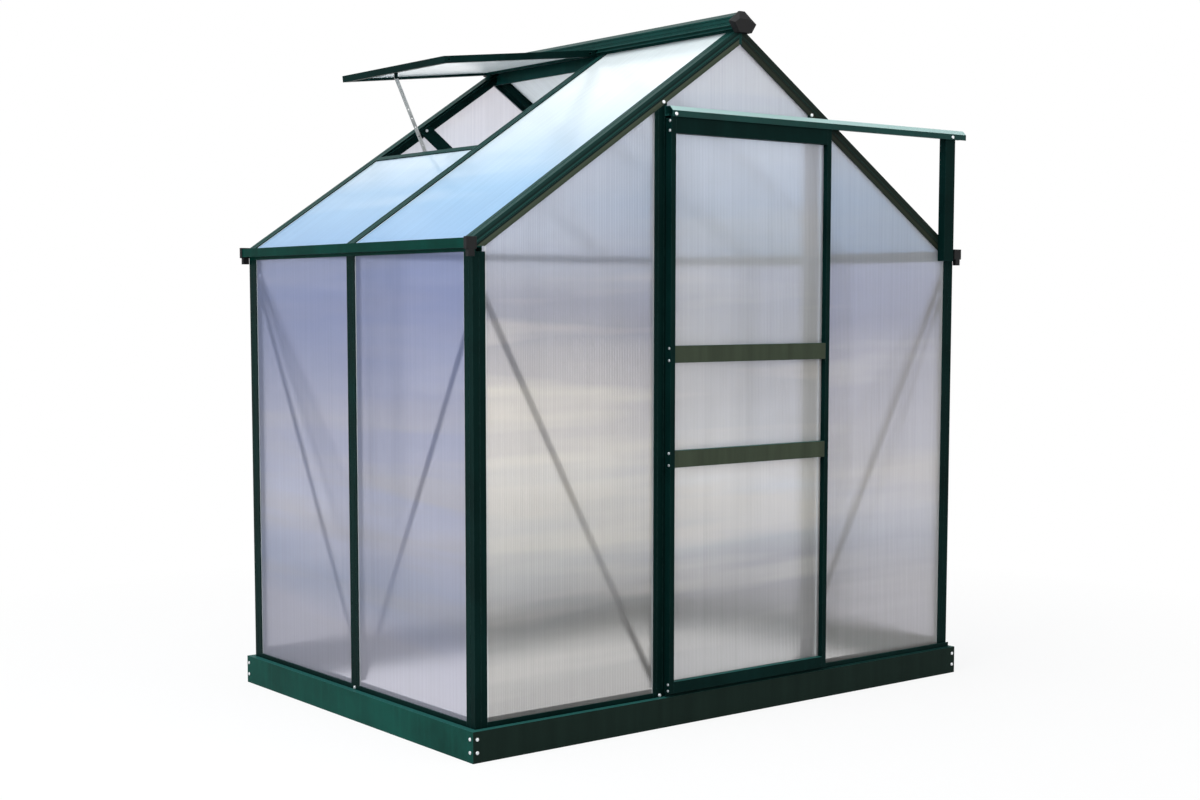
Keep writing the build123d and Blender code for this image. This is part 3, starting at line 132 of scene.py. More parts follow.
class GreenhouseStudio(bpy.types.PropertyGroup):
    """Camera and lights."""

    camera_place: bpy.props.FloatVectorProperty(
        name="Camera Place", description="Where the camera stands",
        subtype="TRANSLATION", unit="LENGTH", default=(-3.500, -4.431, 1.209))
    camera_yaw: bpy.props.FloatProperty(
        name="Camera Yaw", description="Turn to the right of the view along +Y",
        unit="ROTATION", default=math.radians(37.79))
    camera_pitch: bpy.props.FloatProperty(
        name="Camera Pitch", description="Tilt of the view below the horizon",
        unit="ROTATION", default=math.radians(4.99))
    camera_lens: bpy.props.FloatProperty(
        name="Lens", description="Focal length in millimetres on a 36 mm wide sensor", default=53.05)
    camera_shift: bpy.props.FloatVectorProperty(
        name="Lens Shift", description="Shift of the picture in widths", size=2, default=(0.0085, 0.0472))
    ambient: bpy.props.FloatProperty(
        name="Ambient", description="Strength of the even light all round", default=0.4)
    key_power: bpy.props.FloatProperty(
        name="Key Power", description="Watts of the soft box on the left", default=330.0)
    fill_power: bpy.props.FloatProperty(
        name="Fill Power", description="Watts of the soft box at the front", default=110.0)
    top_power: bpy.props.FloatProperty(
        name="Top Power", description="Watts of the soft box overhead", default=230.0)


# Shader building


def shaded(colour, factor):
    """Colour made darker or lighter."""
    return (*(channel * factor for channel in colour[:3]), 1.0)


class Nodes:
    """Adds and joins the nodes of one material."""

    def __init__(self, name):
        self.material = bpy.data.materials.new(name)
        self.material.use_nodes = True
        self.tree = self.material.node_tree
        self.tree.nodes.clear()

    def add(self, kind, inputs=None, **settings):
        """New node with its settings, and its inputs set or linked."""
        node = self.tree.nodes.new("ShaderNode" + kind)
        for key, value in settings.items():
            setattr(node, key, value)
        for key, value in (inputs or {}).items():
            if isinstance(value, bpy.types.NodeSocket):
                self.tree.links.new(value, node.inputs[key])
            else:
                node.inputs[key].default_value = value
        return node

    def math(self, operation, *values):
        """Result of one arithmetic step."""
        return self.add("Math", dict(enumerate(values)), operation=operation).outputs[0]

    def place(self):
        """Position on the piece, in metres."""
        return self.add("TexCoord").outputs["Object"]

    def axes(self, vector):
        """The X, Y and Z of a vector."""
        return self.add("SeparateXYZ", {"Vector": vector}).outputs

    def noise(self, vector, scale, detail, roughness, stretch=None):
        """Soft noise between 0 and 1, scaled apart along each axis where a stretch is given."""
        if stretch is not None:
            vector = self.add("Mapping", {"Vector": vector, "Scale": stretch}).outputs["Vector"]
        inputs = {"Vector": vector, "Scale": scale, "Detail": detail, "Roughness": roughness}
        return self.add("TexNoise", inputs).outputs["Fac"]

    def span(self, value, low, high, new_low=0.0, new_high=1.0):
        """Value moved from one range to another, and kept inside it."""
        inputs = {"Value": value, "From Min": low, "From Max": high, "To Min": new_low, "To Max": new_high}
        return self.add("MapRange", inputs).outputs["Result"]

    def inside(self, value, low, high):
        """1 where a value lies between two others, and 0 elsewhere."""
        above = self.math("GREATER_THAN", value, low)
        return self.math("MULTIPLY", above, self.math("LESS_THAN", value, high))

    def blend(self, factor, first, second):
        """Mix of two colours."""
        inputs = {0: factor, 6: first, 7: second}
        return self.add("Mix", inputs, data_type="RGBA").outputs[2]

    def mottle(self, factor, colour, tones):
        """Colour that wanders between a darker and a lighter tone of itself."""
        dark, light = tones
        return self.blend(factor, shaded(colour, dark), shaded(colour, light))

    def ramp(self, value, stops):
        """Colours spread along a value."""
        node = self.add("ValToRGB", {"Fac": value})
        elements = node.color_ramp.elements
        for position, colour in stops[1:-1]:
            elements.new(position)
        for element, (position, colour) in zip(elements, stops):
            element.position = position
            element.color = colour
        return node.outputs["Color"]

    def bump(self, height, distance, normal=None):
        """Normal bent by a height."""
        inputs = {"Height": height, "Distance": distance}
        if normal is not None:
            inputs["Normal"] = normal
        return self.add("Bump", inputs).outputs["Normal"]

    def mix(self, factor, first, second):
        """Mix of two shaders."""
        return self.add("MixShader", {0: factor, 1: first.outputs[0], 2: second.outputs[0]})

    def finish(self, shader):
        """Join the shader to the output and give the material."""
        self.add("OutputMaterial", {"Surface": shader.outputs[0]})
        return self.material


# Range that holds most of a noise's values
NOISE_RANGE = (0.3, 0.7)
EDGE_RADIUS = 0.0009
EDGE_SAMPLES = 4


def worn_edges(nodes, low, high):
    """Rounded normal of the edges, and a mask that is 1 on them."""
    rounded = nodes.add("Bevel", {"Radius": EDGE_RADIUS}, samples=EDGE_SAMPLES).outputs["Normal"]
    flat = nodes.add("NewGeometry").outputs["Normal"]
    alike = nodes.add("VectorMath", {0: rounded, 1: flat}, operation="DOT_PRODUCT").outputs["Value"]
    return rounded, nodes.span(alike, high, low)


# Powder coat: noise patterns, the ranges that they act in, and what they do there
DUST = {"scale": 5.0, "detail": 6.0, "roughness": 0.62}
DUST_RANGE = (0.3, 0.72)
DUST_TONES = (0.72, 1.35)
RUNS = {"scale": 1.0, "detail": 3.0, "roughness": 0.55, "stretch": (38.0, 38.0, 2.2)}
RUN_RANGE = (0.52, 0.8)
RUN_SHARE = 0.35
RUN_TONE = 1.9
SCUFFS = {"scale": 90.0, "detail": 5.0, "roughness": 0.7}
RUB_RANGE = (0.35, 0.7)
RUB_SHARE = (0.15, 0.75)
DULL_RANGE = (0.25, 0.75)
COAT_ROUGHNESS = (0.3, 0.46)
SCUFF_RANGE = (0.4, 0.8)
SCUFF_ROUGHNESS = 0.08
PEEL = {"scale": 700.0, "detail": 2.0, "roughness": 0.5}
PEEL_HEIGHT = 0.00006
COAT_EDGE = (0.86, 0.985)
COAT_SHEEN = 0.02
# How far a face turns up before it takes the painted highlight, or turns to the front before it takes the
# painted light or shade of front faces, as its normal's Z or Y
HIGHLIGHT_TURN = (0.4, 0.7)
FRONT_TURN = (-0.55, -0.9)
FACE_TONES = (0.88, 1.12)
ROOF_SLOPE = math.radians(33.6)


def plain_face(colour):
    """Painted light or shade of one colour on the front faces, with faint runs."""
    def tone(nodes, place, runs):
        return nodes.mottle(nodes.span(runs, *NOISE_RANGE), colour, FACE_TONES)
    return tone


def rafter_face(lines, shade, share, names):
    """Lines along the gable face of the rafters, from the lower edge up: painted highlight lines, darker
    lines and a painted warm tone, with painted shade on the right.
    """
    rise = math.sin(ROOF_SLOPE)
    run = math.cos(ROOF_SLOPE)
    vertices = [vertex.co for name in names for vertex in frame["nodes"][name].data.vertices]
    spread = [abs(vertex.x) * rise + vertex.z * run for vertex in vertices]

    def tone(nodes, place, runs):
        axes = nodes.axes(place)
        beside = nodes.math("MULTIPLY", nodes.math("ABSOLUTE", axes["X"]), rise)
        across = nodes.math("ADD", beside, nodes.math("MULTIPLY", axes["Z"], run))
        painted_lines = nodes.ramp(nodes.span(across, min(spread), max(spread)), lines)
        right = nodes.math("GREATER_THAN", axes["X"], 0.0)
        return nodes.blend(nodes.math("MULTIPLY", right, share), painted_lines, shade)
    return tone


def powder_coat(name, colour, worn, painted_highlight, sheen=COAT_SHEEN, face=None, band=None):
    """Satin coat with fine orange peel, faint dust and rubbed edges, with a painted highlight on faces
    turned up and a painted light or shade on faces turned to the front.

    The painted tone of faces to the front can be limited to a band of heights.
    """
    nodes = Nodes(name)
    place = nodes.place()
    rounded, edge = worn_edges(nodes, *COAT_EDGE)
    dust = nodes.noise(place, **DUST)
    runs = nodes.noise(place, **RUNS)
    scuffs = nodes.noise(place, **SCUFFS)
    tone = nodes.mottle(nodes.span(dust, *DUST_RANGE), colour, DUST_TONES)
    tone = nodes.blend(nodes.span(runs, *RUN_RANGE, 0.0, RUN_SHARE), tone, shaded(colour, RUN_TONE))
    turn = nodes.axes(nodes.add("NewGeometry").outputs["Normal"])
    # Painted highlight: faces turned up take a paler tone
    tone = nodes.blend(nodes.span(turn["Z"], *HIGHLIGHT_TURN), tone, painted_highlight)
    # Painted light or shade on faces turned to the front
    if face is not None:
        front = nodes.span(turn["Y"], *FRONT_TURN)
        if band is not None:
            front = nodes.math("MULTIPLY", front, nodes.inside(nodes.axes(place)["Z"], *band))
        tone = nodes.blend(front, tone, face(nodes, place, runs))
    rubbed = nodes.math("MULTIPLY", edge, nodes.span(scuffs, *RUB_RANGE, *RUB_SHARE))
    tone = nodes.blend(rubbed, tone, worn)
    dull = nodes.span(dust, *DULL_RANGE, *COAT_ROUGHNESS)
    rough = nodes.math("ADD", dull, nodes.span(scuffs, *SCUFF_RANGE, 0.0, SCUFF_ROUGHNESS))
    normal = nodes.bump(nodes.noise(place, **PEEL), PEEL_HEIGHT, rounded)
    return nodes.finish(nodes.add("BsdfPrincipled", {
        "Base Color": tone, "Roughness": rough, "Normal": normal, "Specular IOR Level": sheen}))


# Moulded plastic
PLASTIC_CLOUD = {"scale": 18.0, "detail": 4.0, "roughness": 0.55}
PLASTIC_TONES = (0.75, 1.4)
PLASTIC_ROUGHNESS = (0.5, 0.66)
PLASTIC_SHEEN = 0.15
PLASTIC_EDGE = (0.8, 0.98)
PLASTIC_EDGE_SHARE = 0.35
PLASTIC_EDGE_TONE = 4.0
PORES = {"detail": 2.0, "roughness": 0.55}
PORE_HEIGHT = 0.00008


def moulded_plastic(name, colour, grain):
    """Matt moulded plastic with a spark-eroded grain and pale rubbed edges."""
    nodes = Nodes(name)
    place = nodes.place()
    rounded, edge = worn_edges(nodes, *PLASTIC_EDGE)
    cloud = nodes.noise(place, **PLASTIC_CLOUD)
    tone = nodes.mottle(nodes.span(cloud, *NOISE_RANGE), colour, PLASTIC_TONES)
    rubbed = nodes.math("MULTIPLY", edge, PLASTIC_EDGE_SHARE)
    tone = nodes.blend(rubbed, tone, shaded(colour, PLASTIC_EDGE_TONE))
    rough = nodes.span(cloud, *NOISE_RANGE, *PLASTIC_ROUGHNESS)
    normal = nodes.bump(nodes.noise(place, grain, **PORES), PORE_HEIGHT, rounded)
    return nodes.finish(nodes.add("BsdfPrincipled", {
        "Base Color": tone, "Roughness": rough, "Normal": normal, "Specular IOR Level": PLASTIC_SHEEN}))


# Bare metal
PATCHES = {"scale": 30.0, "detail": 5.0, "roughness": 0.6}
PATCH_RANGE = (0.3, 0.72)
PATCH_TONES = (0.72, 1.12)
PATCH_ROUGHNESS = (0.28, 0.44)
METAL_EDGE = (0.82, 0.98)
METAL_EDGE_SHARE = 0.5
METAL_EDGE_TONE = 1.3
BRUSH_LINES = {"scale": 1.0, "detail": 2.0, "roughness": 0.55}
BRUSH_ROUGHNESS = 0.1
BRUSH_HEIGHT = 0.00004


def bare_metal(name, colour, metallic, brushed):
    """Mill or plated metal, brushed along one axis, with dull patches."""
    nodes = Nodes(name)
    place = nodes.place()
    rounded, edge = worn_edges(nodes, *METAL_EDGE)
    patches = nodes.noise(place, **PATCHES)
    lines = nodes.noise(place, **BRUSH_LINES, stretch=brushed)
    tone = nodes.mottle(nodes.span(patches, *PATCH_RANGE), colour, PATCH_TONES)
    rubbed = nodes.math("MULTIPLY", edge, METAL_EDGE_SHARE)
    tone = nodes.blend(rubbed, tone, shaded(colour, METAL_EDGE_TONE))
    dull = nodes.span(patches, *NOISE_RANGE, *PATCH_ROUGHNESS)
    rough = nodes.math("ADD", dull, nodes.span(lines, *NOISE_RANGE, 0.0, BRUSH_ROUGHNESS))
    normal = nodes.bump(lines, BRUSH_HEIGHT, rounded)
    return nodes.finish(nodes.add("BsdfPrincipled", {
        "Base Color": tone, "Roughness": rough, "Normal": normal, "Metallic": metallic}))


# Twin-wall sheet: the axis across its ribs, its lowest and highest point, its colours by height (its own
# milky tone with painted reflections and painted shade), the colour of its painted wisps of reflected light
# and the painted reflection at its far end, each with its share as a fourth value, the distances from the
# middle of the house to its painted highlight edges, its clearness and the height of its ribs
Sheet = namedtuple("Sheet", "across heights tints wisp far edges clearness ripple")

STREAKS = {"scale": 1.0, "detail": 3.0, "roughness": 0.6}
STREAK_STRETCH = {"X": (120.0, 0.9, 0.9), "Y": (0.9, 120.0, 0.9)}
STREAK_LIGHT = (0.96, 1.03)
STREAK_ROUGHNESS = (0.07, 0.12)
CLOUD = {"scale": 2.2, "detail": 3.0, "roughness": 0.5, "stretch": (0.9, 0.9, 0.9)}
CLOUD_LIGHT = (-0.04, 0.04)
DRIFT = {"scale": 1.0, "detail": 2.0, "roughness": 0.45, "stretch": (0.8, 0.8, 4.2)}
DRIFT_RANGE = (0.25, 0.75)
DRIFT_REACH = (-0.05, 0.05)
WISPS = {"scale": 1.0, "detail": 2.5, "roughness": 0.5, "stretch": (0.8, 0.8, 8.5)}
WISP_RANGE = (0.47, 0.63)
WISP_LEVEL = 0.4
WISP_FADE = (0.08, 0.3)
WISP_SHARE = (1.0, 0.2)
# Distance from the middle of the house at which the painted reflection at the far end is full
FAR_END = 0.9
RIB_LIGHT = (-0.015, 0.015)
FLUTE_CONTRAST = 0.02
SIDE_RIPPLE = 0.00003
GABLE_RIPPLE = 0.00014
# Painted highlight lines along the edges of the sheets: their width, share and colour
EDGE_LINE = 0.005
EDGE_HIGHLIGHT_SHARE = 0.85
EDGE_HIGHLIGHT_TINT = (0.86, 0.9, 0.9, 1.0)
MILKY_RISE = (0.22, 0.45)
MILKY_ROUGHNESS = 0.14
INNER_ROUGHNESS = 0.02
SHEET_SHEEN = 0.4
SHEET_IOR = 1.35
SHEET_GLOW = 0.15
LAMP_TINT = (0.8, 0.83, 0.86, 1.0)


def sheet_painted_reflection(nodes, sheet, place, axes, level):
    """Colours by height that drift a little: the sheet's milky tone with painted reflections and shade, with
    painted wisps of reflected light about one level and a painted reflection at the far end.
    """
    wander = nodes.span(nodes.noise(place, **DRIFT), *DRIFT_RANGE, *DRIFT_REACH)
    painted_tint = nodes.ramp(nodes.math("ADD", level, wander), sheet.tints)
    off_level = nodes.math("ABSOLUTE", nodes.math("SUBTRACT", level, WISP_LEVEL))
    near = nodes.span(off_level, *WISP_FADE, *WISP_SHARE)
    gleam = nodes.math("MULTIPLY", nodes.span(nodes.noise(place, **WISPS), *WISP_RANGE), near)
    painted_tint = nodes.blend(nodes.math("MULTIPLY", gleam, sheet.wisp[3]), painted_tint, sheet.wisp)
    if sheet.far is not None:
        share = nodes.span(axes[sheet.across], 0.0, FAR_END, 0.0, sheet.far[3])
        painted_tint = nodes.blend(share, painted_tint, sheet.far)
    return painted_tint


def sheet_lightness(nodes, place, cell, ridge, streaks):
    """Brightness that changes from rib to rib, in streaks and in soft clouds."""
    number = nodes.math("FLOOR", cell)
    luck = nodes.add("TexWhiteNoise", {"W": number}, noise_dimensions="1D").outputs["Value"]
    streaky = nodes.span(streaks, *NOISE_RANGE, *STREAK_LIGHT)
    cloudy = nodes.span(nodes.noise(place, **CLOUD), *NOISE_RANGE, *CLOUD_LIGHT)
    lightness = nodes.math("ADD", streaky, nodes.span(luck, 0.0, 1.0, *RIB_LIGHT))
    lightness = nodes.math("ADD", lightness, cloudy)
    return nodes.math("ADD", lightness, nodes.math("MULTIPLY", ridge, FLUTE_CONTRAST))


def twin_wall(name, sheet, pitch):
    """Fluted translucent sheet: ribs that smear what is behind them, a milky foot, painted reflections and
    shade, and painted highlight lines at its edges.
    """
    nodes = Nodes(name)
    place = nodes.place()
    axes = nodes.axes(place)
    cell = nodes.math("DIVIDE", axes[sheet.across], pitch)
    ridge = nodes.math("SINE", nodes.math("MULTIPLY", cell, FULL_TURN))
    streaks = nodes.noise(place, **STREAKS, stretch=STREAK_STRETCH[sheet.across])
    level = nodes.span(axes["Z"], *sheet.heights)
    painted_tint = sheet_painted_reflection(nodes, sheet, place, axes, level)
    lightness = sheet_lightness(nodes, place, cell, ridge, streaks)
    tone = nodes.add("VectorMath", {0: painted_tint, "Scale": lightness}, operation="SCALE").outputs["Vector"]
    # Painted highlight lines along the edges of the sheet
    beside = nodes.math("ABSOLUTE", axes[sheet.across])
    for edge in sheet.edges:
        away = nodes.math("ABSOLUTE", nodes.math("SUBTRACT", beside, edge))
        tone = nodes.blend(nodes.span(away, 0.0, EDGE_LINE, EDGE_HIGHLIGHT_SHARE, 0.0), tone, EDGE_HIGHLIGHT_TINT)
    milky = nodes.span(level, *MILKY_RISE, MILKY_ROUGHNESS, 0.0)
    rough = nodes.math("ADD", nodes.span(streaks, *NOISE_RANGE, *STREAK_ROUGHNESS), milky)
    normal = nodes.bump(ridge, sheet.ripple)
    plate = nodes.add("BsdfPrincipled", {
        "Base Color": tone, "Roughness": rough, "Normal": normal, "IOR": SHEET_IOR,
        "Transmission Weight": sheet.clearness, "Specular IOR Level": SHEET_SHEEN})
    entering = nodes.mix(SHEET_GLOW, plate, nodes.add("BsdfTranslucent", {"Color": tone}))
    leaving = nodes.add("BsdfRefraction", {
        "Color": WHITE, "Roughness": INNER_ROUGHNESS, "IOR": SHEET_IOR, "Normal": normal})
    body = nodes.mix(nodes.add("NewGeometry").outputs["Backfacing"], entering, leaving)
    clear = nodes.add("BsdfTransparent", {"Color": LAMP_TINT})
    return nodes.finish(nodes.mix(nodes.add("LightPath").outputs["Is Shadow Ray"], body, clear))


def assign(material, names):
    """Give CAD nodes a material in place of their plain one."""
    for name in names:
        for slot in frame["nodes"][name].material_slots:
            slot.material = material


# Coats of the frame


# Tone of the painted highlight on bars that stand more in the shade
DIM_PAINTED_HIGHLIGHT = 0.4
# Heights between which the door's two middle rails lie
DOOR_BAND = (0.5, 1.3)
TRACK_SHEEN = 0.1
RAFTER_SHEEN = 0.05
RIDGE_SHEEN = 0.06
FRONT_RAFTERS = ("rafter_front_left", "rafter_front_right")
EAVES = ("eave_gutter_left", "eave_gutter_right")
# Lines across a rafter's gable face: where each starts, the coat that it shows and that coat's tone; olive
# is painted warm light and the palest lines are painted highlights
RAFTER_LINES = ((0.0, "olive", 1.5), (0.3, "olive", 2.2), (0.38, "green", 0.5), (0.47, "painted_highlight", 0.25),
                (0.6, "painted_highlight", 0.55), (0.7, "green", 0.8), (0.86, "painted_highlight", 0.3))
# Painted shade on the right rafter: how dark it is and how much of it shows
RIGHT_PAINTED_SHADE = 0.4
RIGHT_SHARE = 0.75


class GREENHOUSE_OT_coat_frame(bpy.types.Operator):
    """Powder coat on all the aluminium bars, with a dim painted highlight on faces turned up"""

    bl_idname = "greenhouse.coat_frame"
    bl_label = "Coat the Frame"

    def execute(self, context):
        finish = context.scene.greenhouse_finish
        dim_painted_highlight = shaded(finish.coat_painted_highlight, DIM_PAINTED_HIGHLIGHT)
        coat = powder_coat("frame_coat", finish.coat_green, finish.coat_worn, dim_painted_highlight)
        assign(coat, nodes_of_slot("frame_green"))
        return {"FINISHED"}


class GREENHOUSE_OT_coat_door(bpy.types.Operator):
    """Middle rails of the door with painted warm light on their front, and the painted highlight on the top
    of its track
    """

    bl_idname = "greenhouse.coat_door"
    bl_label = "Coat the Door Rails and Track"

    def execute(self, context):
        finish = context.scene.greenhouse_finish
        rails = powder_coat("rail_coat", finish.coat_green, finish.coat_worn, finish.coat_painted_highlight,
                            face=plain_face(finish.rail_painted_warm_light), band=DOOR_BAND)
        assign(rails, ("door_rails",))
        track = powder_coat("track_coat", finish.roof_green_painted_light, finish.coat_worn, finish.track_painted_highlight, TRACK_SHEEN)
        assign(track, ("door_track",))
        return {"FINISHED"}


class GREENHOUSE_OT_coat_roof(bpy.types.Operator):
    """Painted lines, warm light and shade on the front rafters, and the ridge and eaves lighter in painted
    light
    """

    bl_idname = "greenhouse.coat_roof"
    bl_label = "Coat the Rafters, Ridge and Eaves"

    def execute(self, context):
        finish = context.scene.greenhouse_finish
        worn = finish.coat_worn
        dim_painted_highlight = shaded(finish.coat_painted_highlight, DIM_PAINTED_HIGHLIGHT)
        coats = {"olive": finish.rafter_painted_warm_light, "green": finish.coat_green, "painted_highlight": finish.coat_painted_highlight}
        lines = [(start, shaded(coats[coat], tone)) for start, coat, tone in RAFTER_LINES]
        painted_lines = rafter_face(lines, shaded(finish.rafter_painted_warm_light, RIGHT_PAINTED_SHADE), RIGHT_SHARE, FRONT_RAFTERS)
        rafters = powder_coat("rafter_coat", finish.coat_green, worn, dim_painted_highlight, RAFTER_SHEEN, painted_lines)
        assign(rafters, FRONT_RAFTERS)
        ridge = powder_coat("ridge_coat", finish.roof_green_painted_light, worn, finish.roof_green_painted_light, RIDGE_SHEEN)
        assign(ridge, ("ridge_beam",))
        assign(powder_coat("eave_coat", finish.eave_green_painted_light, worn, dim_painted_highlight), EAVES)
        return {"FINISHED"}


class GREENHOUSE_OT_coat_base(bpy.types.Operator):
    """Powder coat on the steel base, with painted shade on its front and a painted highlight on faces turned
    up
    """

    bl_idname = "greenhouse.coat_base"
    bl_label = "Coat the Base"

    def execute(self, context):
        finish = context.scene.greenhouse_finish
        base = powder_coat("base_coat", finish.base_green, finish.coat_worn, finish.coat_painted_highlight,
                           face=plain_face(finish.base_front_painted_shade))
        assign(base, nodes_of_slot("base_green"))
        return {"FINISHED"}


# Finish of the fittings: how fine the grain of the plastics is, and how metals shine and are brushed


CAP_GRAIN = 900.0
NYLON_GRAIN = 600.0
RUBBER_GRAIN = 500.0
ZINC_METALLIC = 0.85
MILL_METALLIC = 0.35
DULL_METALLIC = 0.1
PLATED = (400.0, 400.0, 400.0)
BRUSHED = (900.0, 900.0, 25.0)


class GREENHOUSE_OT_finish_plastics(bpy.types.Operator):
    """End caps, door rollers and track stops"""

    bl_idname = "greenhouse.finish_plastics"
    bl_label = "Finish the Plastics"

    def execute(self, context):
        finish = context.scene.greenhouse_finish
        assign(moulded_plastic("cap_plastic", finish.cap_black, CAP_GRAIN), nodes_of_slot("cap_black"))
        assign(moulded_plastic("roller_nylon", finish.nylon, NYLON_GRAIN), nodes_of_slot("nylon"))
        assign(moulded_plastic("stop_rubber", finish.rubber, RUBBER_GRAIN), nodes_of_slot("stop_rubber"))
        return {"FINISHED"}


class GREENHOUSE_OT_finish_metals(bpy.types.Operator):
    """Screws, bolts, hangers, stay and braces"""

    bl_idname = "greenhouse.finish_metals"
    bl_label = "Finish the Metals"

    def execute(self, context):
        finish = context.scene.greenhouse_finish
        assign(bare_metal("zinc_plate", finish.zinc, ZINC_METALLIC, PLATED), nodes_of_slot("zinc"))
        mill = bare_metal("mill_aluminium", finish.mill_grey, MILL_METALLIC, BRUSHED)
        assign(mill, nodes_of_slot("stay_grey"))
        # The braces' dull aluminium with painted shade, darker for braces seen against the light
        dull = bare_metal("dull_aluminium_painted_shade", finish.brace_grey, DULL_METALLIC, BRUSHED)
        assign(dull, nodes_of_slot("brace_grey"))
        return {"FINISHED"}


# Glazing: colours from the foot of a sheet to its top, each with the share of the height where it lies: the
# sheet's milky tone mixed with painted reflections of sky and ground and painted shade, cooler and darker on
# the side walls


WALL_SHEETS = ("wall_panels_left", "wall_panels_right")
ROOF_SHEETS = ("roof_panels_left", "roof_panels_right")

COOL_PAINTED_REFLECTION = (
    (0.0, (0.45, 0.435, 0.52, 1.0)),
    (0.14, (0.44, 0.43, 0.53, 1.0)),
    (0.25, (0.32, 0.355, 0.5, 1.0)),
    (0.36, (0.41, 0.42, 0.55, 1.0)),
    (0.64, (0.29, 0.31, 0.46, 1.0)),
    (0.92, (0.205, 0.245, 0.45, 1.0)),
)
NEUTRAL_PAINTED_REFLECTION = (
    (0.0, (0.38, 0.365, 0.35, 1.0)),
    (0.1, (0.41, 0.4, 0.385, 1.0)),
    (0.18, (0.46, 0.46, 0.475, 1.0)),
    (0.26, (0.76, 0.75, 0.74, 1.0)),
    (0.41, (0.79, 0.745, 0.715, 1.0)),
    (0.59, (0.42, 0.42, 0.49, 1.0)),
    (0.76, (0.66, 0.7, 0.81, 1.0)),
    (1.0, (0.75, 0.72, 0.8, 1.0)),
)
DOOR_PAINTED_REFLECTION = (
    (0.0, (0.45, 0.44, 0.44, 1.0)),
    (0.11, (0.46, 0.45, 0.45, 1.0)),
    (0.19, (0.52, 0.52, 0.54, 1.0)),
    (0.31, (0.98, 0.98, 0.97, 1.0)),
    (0.46, (0.7, 0.68, 0.67, 1.0)),
    (0.62, (0.62, 0.62, 0.63, 1.0)),
    (0.84, (0.79, 0.81, 0.91, 1.0)),
)
SKY_PAINTED_REFLECTION = (
    (0.0, (0.24, 0.43, 0.68, 1.0)),
    (0.28, (0.33, 0.53, 0.75, 1.0)),
    (0.52, (0.64, 0.76, 0.86, 1.0)),
    (0.78, (0.9, 0.96, 0.97, 1.0)),
)
# Painted reflections: wisps of reflected light, and the colour at the far end of a sheet
COOL_PAINTED_WISP = (0.42, 0.4, 0.44, 0.7)
WARM_PAINTED_WISP = (0.97, 0.9, 0.8, 0.8)
SKY_PAINTED_WISP = (0.8, 0.9, 0.95, 0.25)
FAR_PAINTED_LILAC = (0.8, 0.77, 0.76, 0.6)
FAR_PAINTED_BLUE = (0.24, 0.28, 0.42, 0.3)


def heights_of(name):
    """Lowest and highest point of a CAD node."""
    low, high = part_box(name)
    return low.z, high.z


def highlight_edges_between(corner, bar, axis):
    """Distances from the middle of the house to the painted highlight lines at the edges of a sheet between
    a corner and a bar.
    """
    return (abs(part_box(corner)[1][axis]) - EDGE_LINE / 2, abs(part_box(bar)[0][axis]) + EDGE_LINE / 2)


def side_highlight_edges():
    """Painted highlight lines at the edges of the sheets beside the middle post of a side wall."""
    return highlight_edges_between("corner_post_front_left", "side_post_left", 1)


def gable_highlight_edges():
    """Painted highlight lines at the edges of the sheets beside the door posts."""
    return highlight_edges_between("corner_post_front_left", "door_post_left", 0)


class GREENHOUSE_OT_glaze_walls(bpy.types.Operator):
    """Twin-wall sheets of the side walls"""

    bl_idname = "greenhouse.glaze_walls"
    bl_label = "Glaze the Walls"

    def execute(self, context):
        finish = context.scene.greenhouse_finish
        sheet = Sheet("Y", heights_of("wall_panels_left"), COOL_PAINTED_REFLECTION, COOL_PAINTED_WISP, FAR_PAINTED_BLUE, side_highlight_edges(),
                      finish.wall_clearness, SIDE_RIPPLE)
        assign(twin_wall("side_sheet", sheet, finish.flute_pitch), WALL_SHEETS)
        return {"FINISHED"}


class GREENHOUSE_OT_glaze_gables(bpy.types.Operator):
    """Twin-wall sheets of the front and the rear gable"""

    bl_idname = "greenhouse.glaze_gables"
    bl_label = "Glaze the Gables"

    def execute(self, context):
        finish = context.scene.greenhouse_finish
        front = Sheet("X", heights_of("gable_panels_front"), NEUTRAL_PAINTED_REFLECTION, WARM_PAINTED_WISP, FAR_PAINTED_LILAC,
                      gable_highlight_edges(), finish.wall_clearness, GABLE_RIPPLE)
        assign(twin_wall("gable_sheet", front, finish.flute_pitch), ("gable_panels_front",))
        rear_highlight_edges = highlight_edges_between("corner_post_rear_left", "rear_posts", 0)
        rear = front._replace(far=None, edges=rear_highlight_edges)
        assign(twin_wall("rear_sheet", rear, finish.flute_pitch), ("gable_panels_rear",))
        return {"FINISHED"}


class GREENHOUSE_OT_glaze_door(bpy.types.Operator):
    """Twin-wall sheets of the sliding door"""

    bl_idname = "greenhouse.glaze_door"
    bl_label = "Glaze the Door"

    def execute(self, context):
        finish = context.scene.greenhouse_finish
        sheet = Sheet("X", heights_of("gable_panels_front"), DOOR_PAINTED_REFLECTION, WARM_PAINTED_WISP, None, gable_highlight_edges(),
                      finish.door_clearness, GABLE_RIPPLE)
        assign(twin_wall("door_sheet", sheet, finish.flute_pitch), ("door_panels",))
        return {"FINISHED"}


class GREENHOUSE_OT_glaze_roof(bpy.types.Operator):
    """Twin-wall sheets of the roof and the clearer one of the vent"""

    bl_idname = "greenhouse.glaze_roof"
    bl_label = "Glaze the Roof and Vent"

    def execute(self, context):
        finish = context.scene.greenhouse_finish
        roof = Sheet("Y", heights_of("roof_panels_left"), SKY_PAINTED_REFLECTION, SKY_PAINTED_WISP, None, side_highlight_edges(),
                     finish.roof_clearness, SIDE_RIPPLE)
        assign(twin_wall("roof_sheet", roof, finish.flute_pitch), ROOF_SHEETS)
        vent = roof._replace(clearness=finish.vent_clearness)
        assign(twin_wall("vent_sheet", vent, finish.flute_pitch), ("vent_panel",))
        return {"FINISHED"}


# Stage


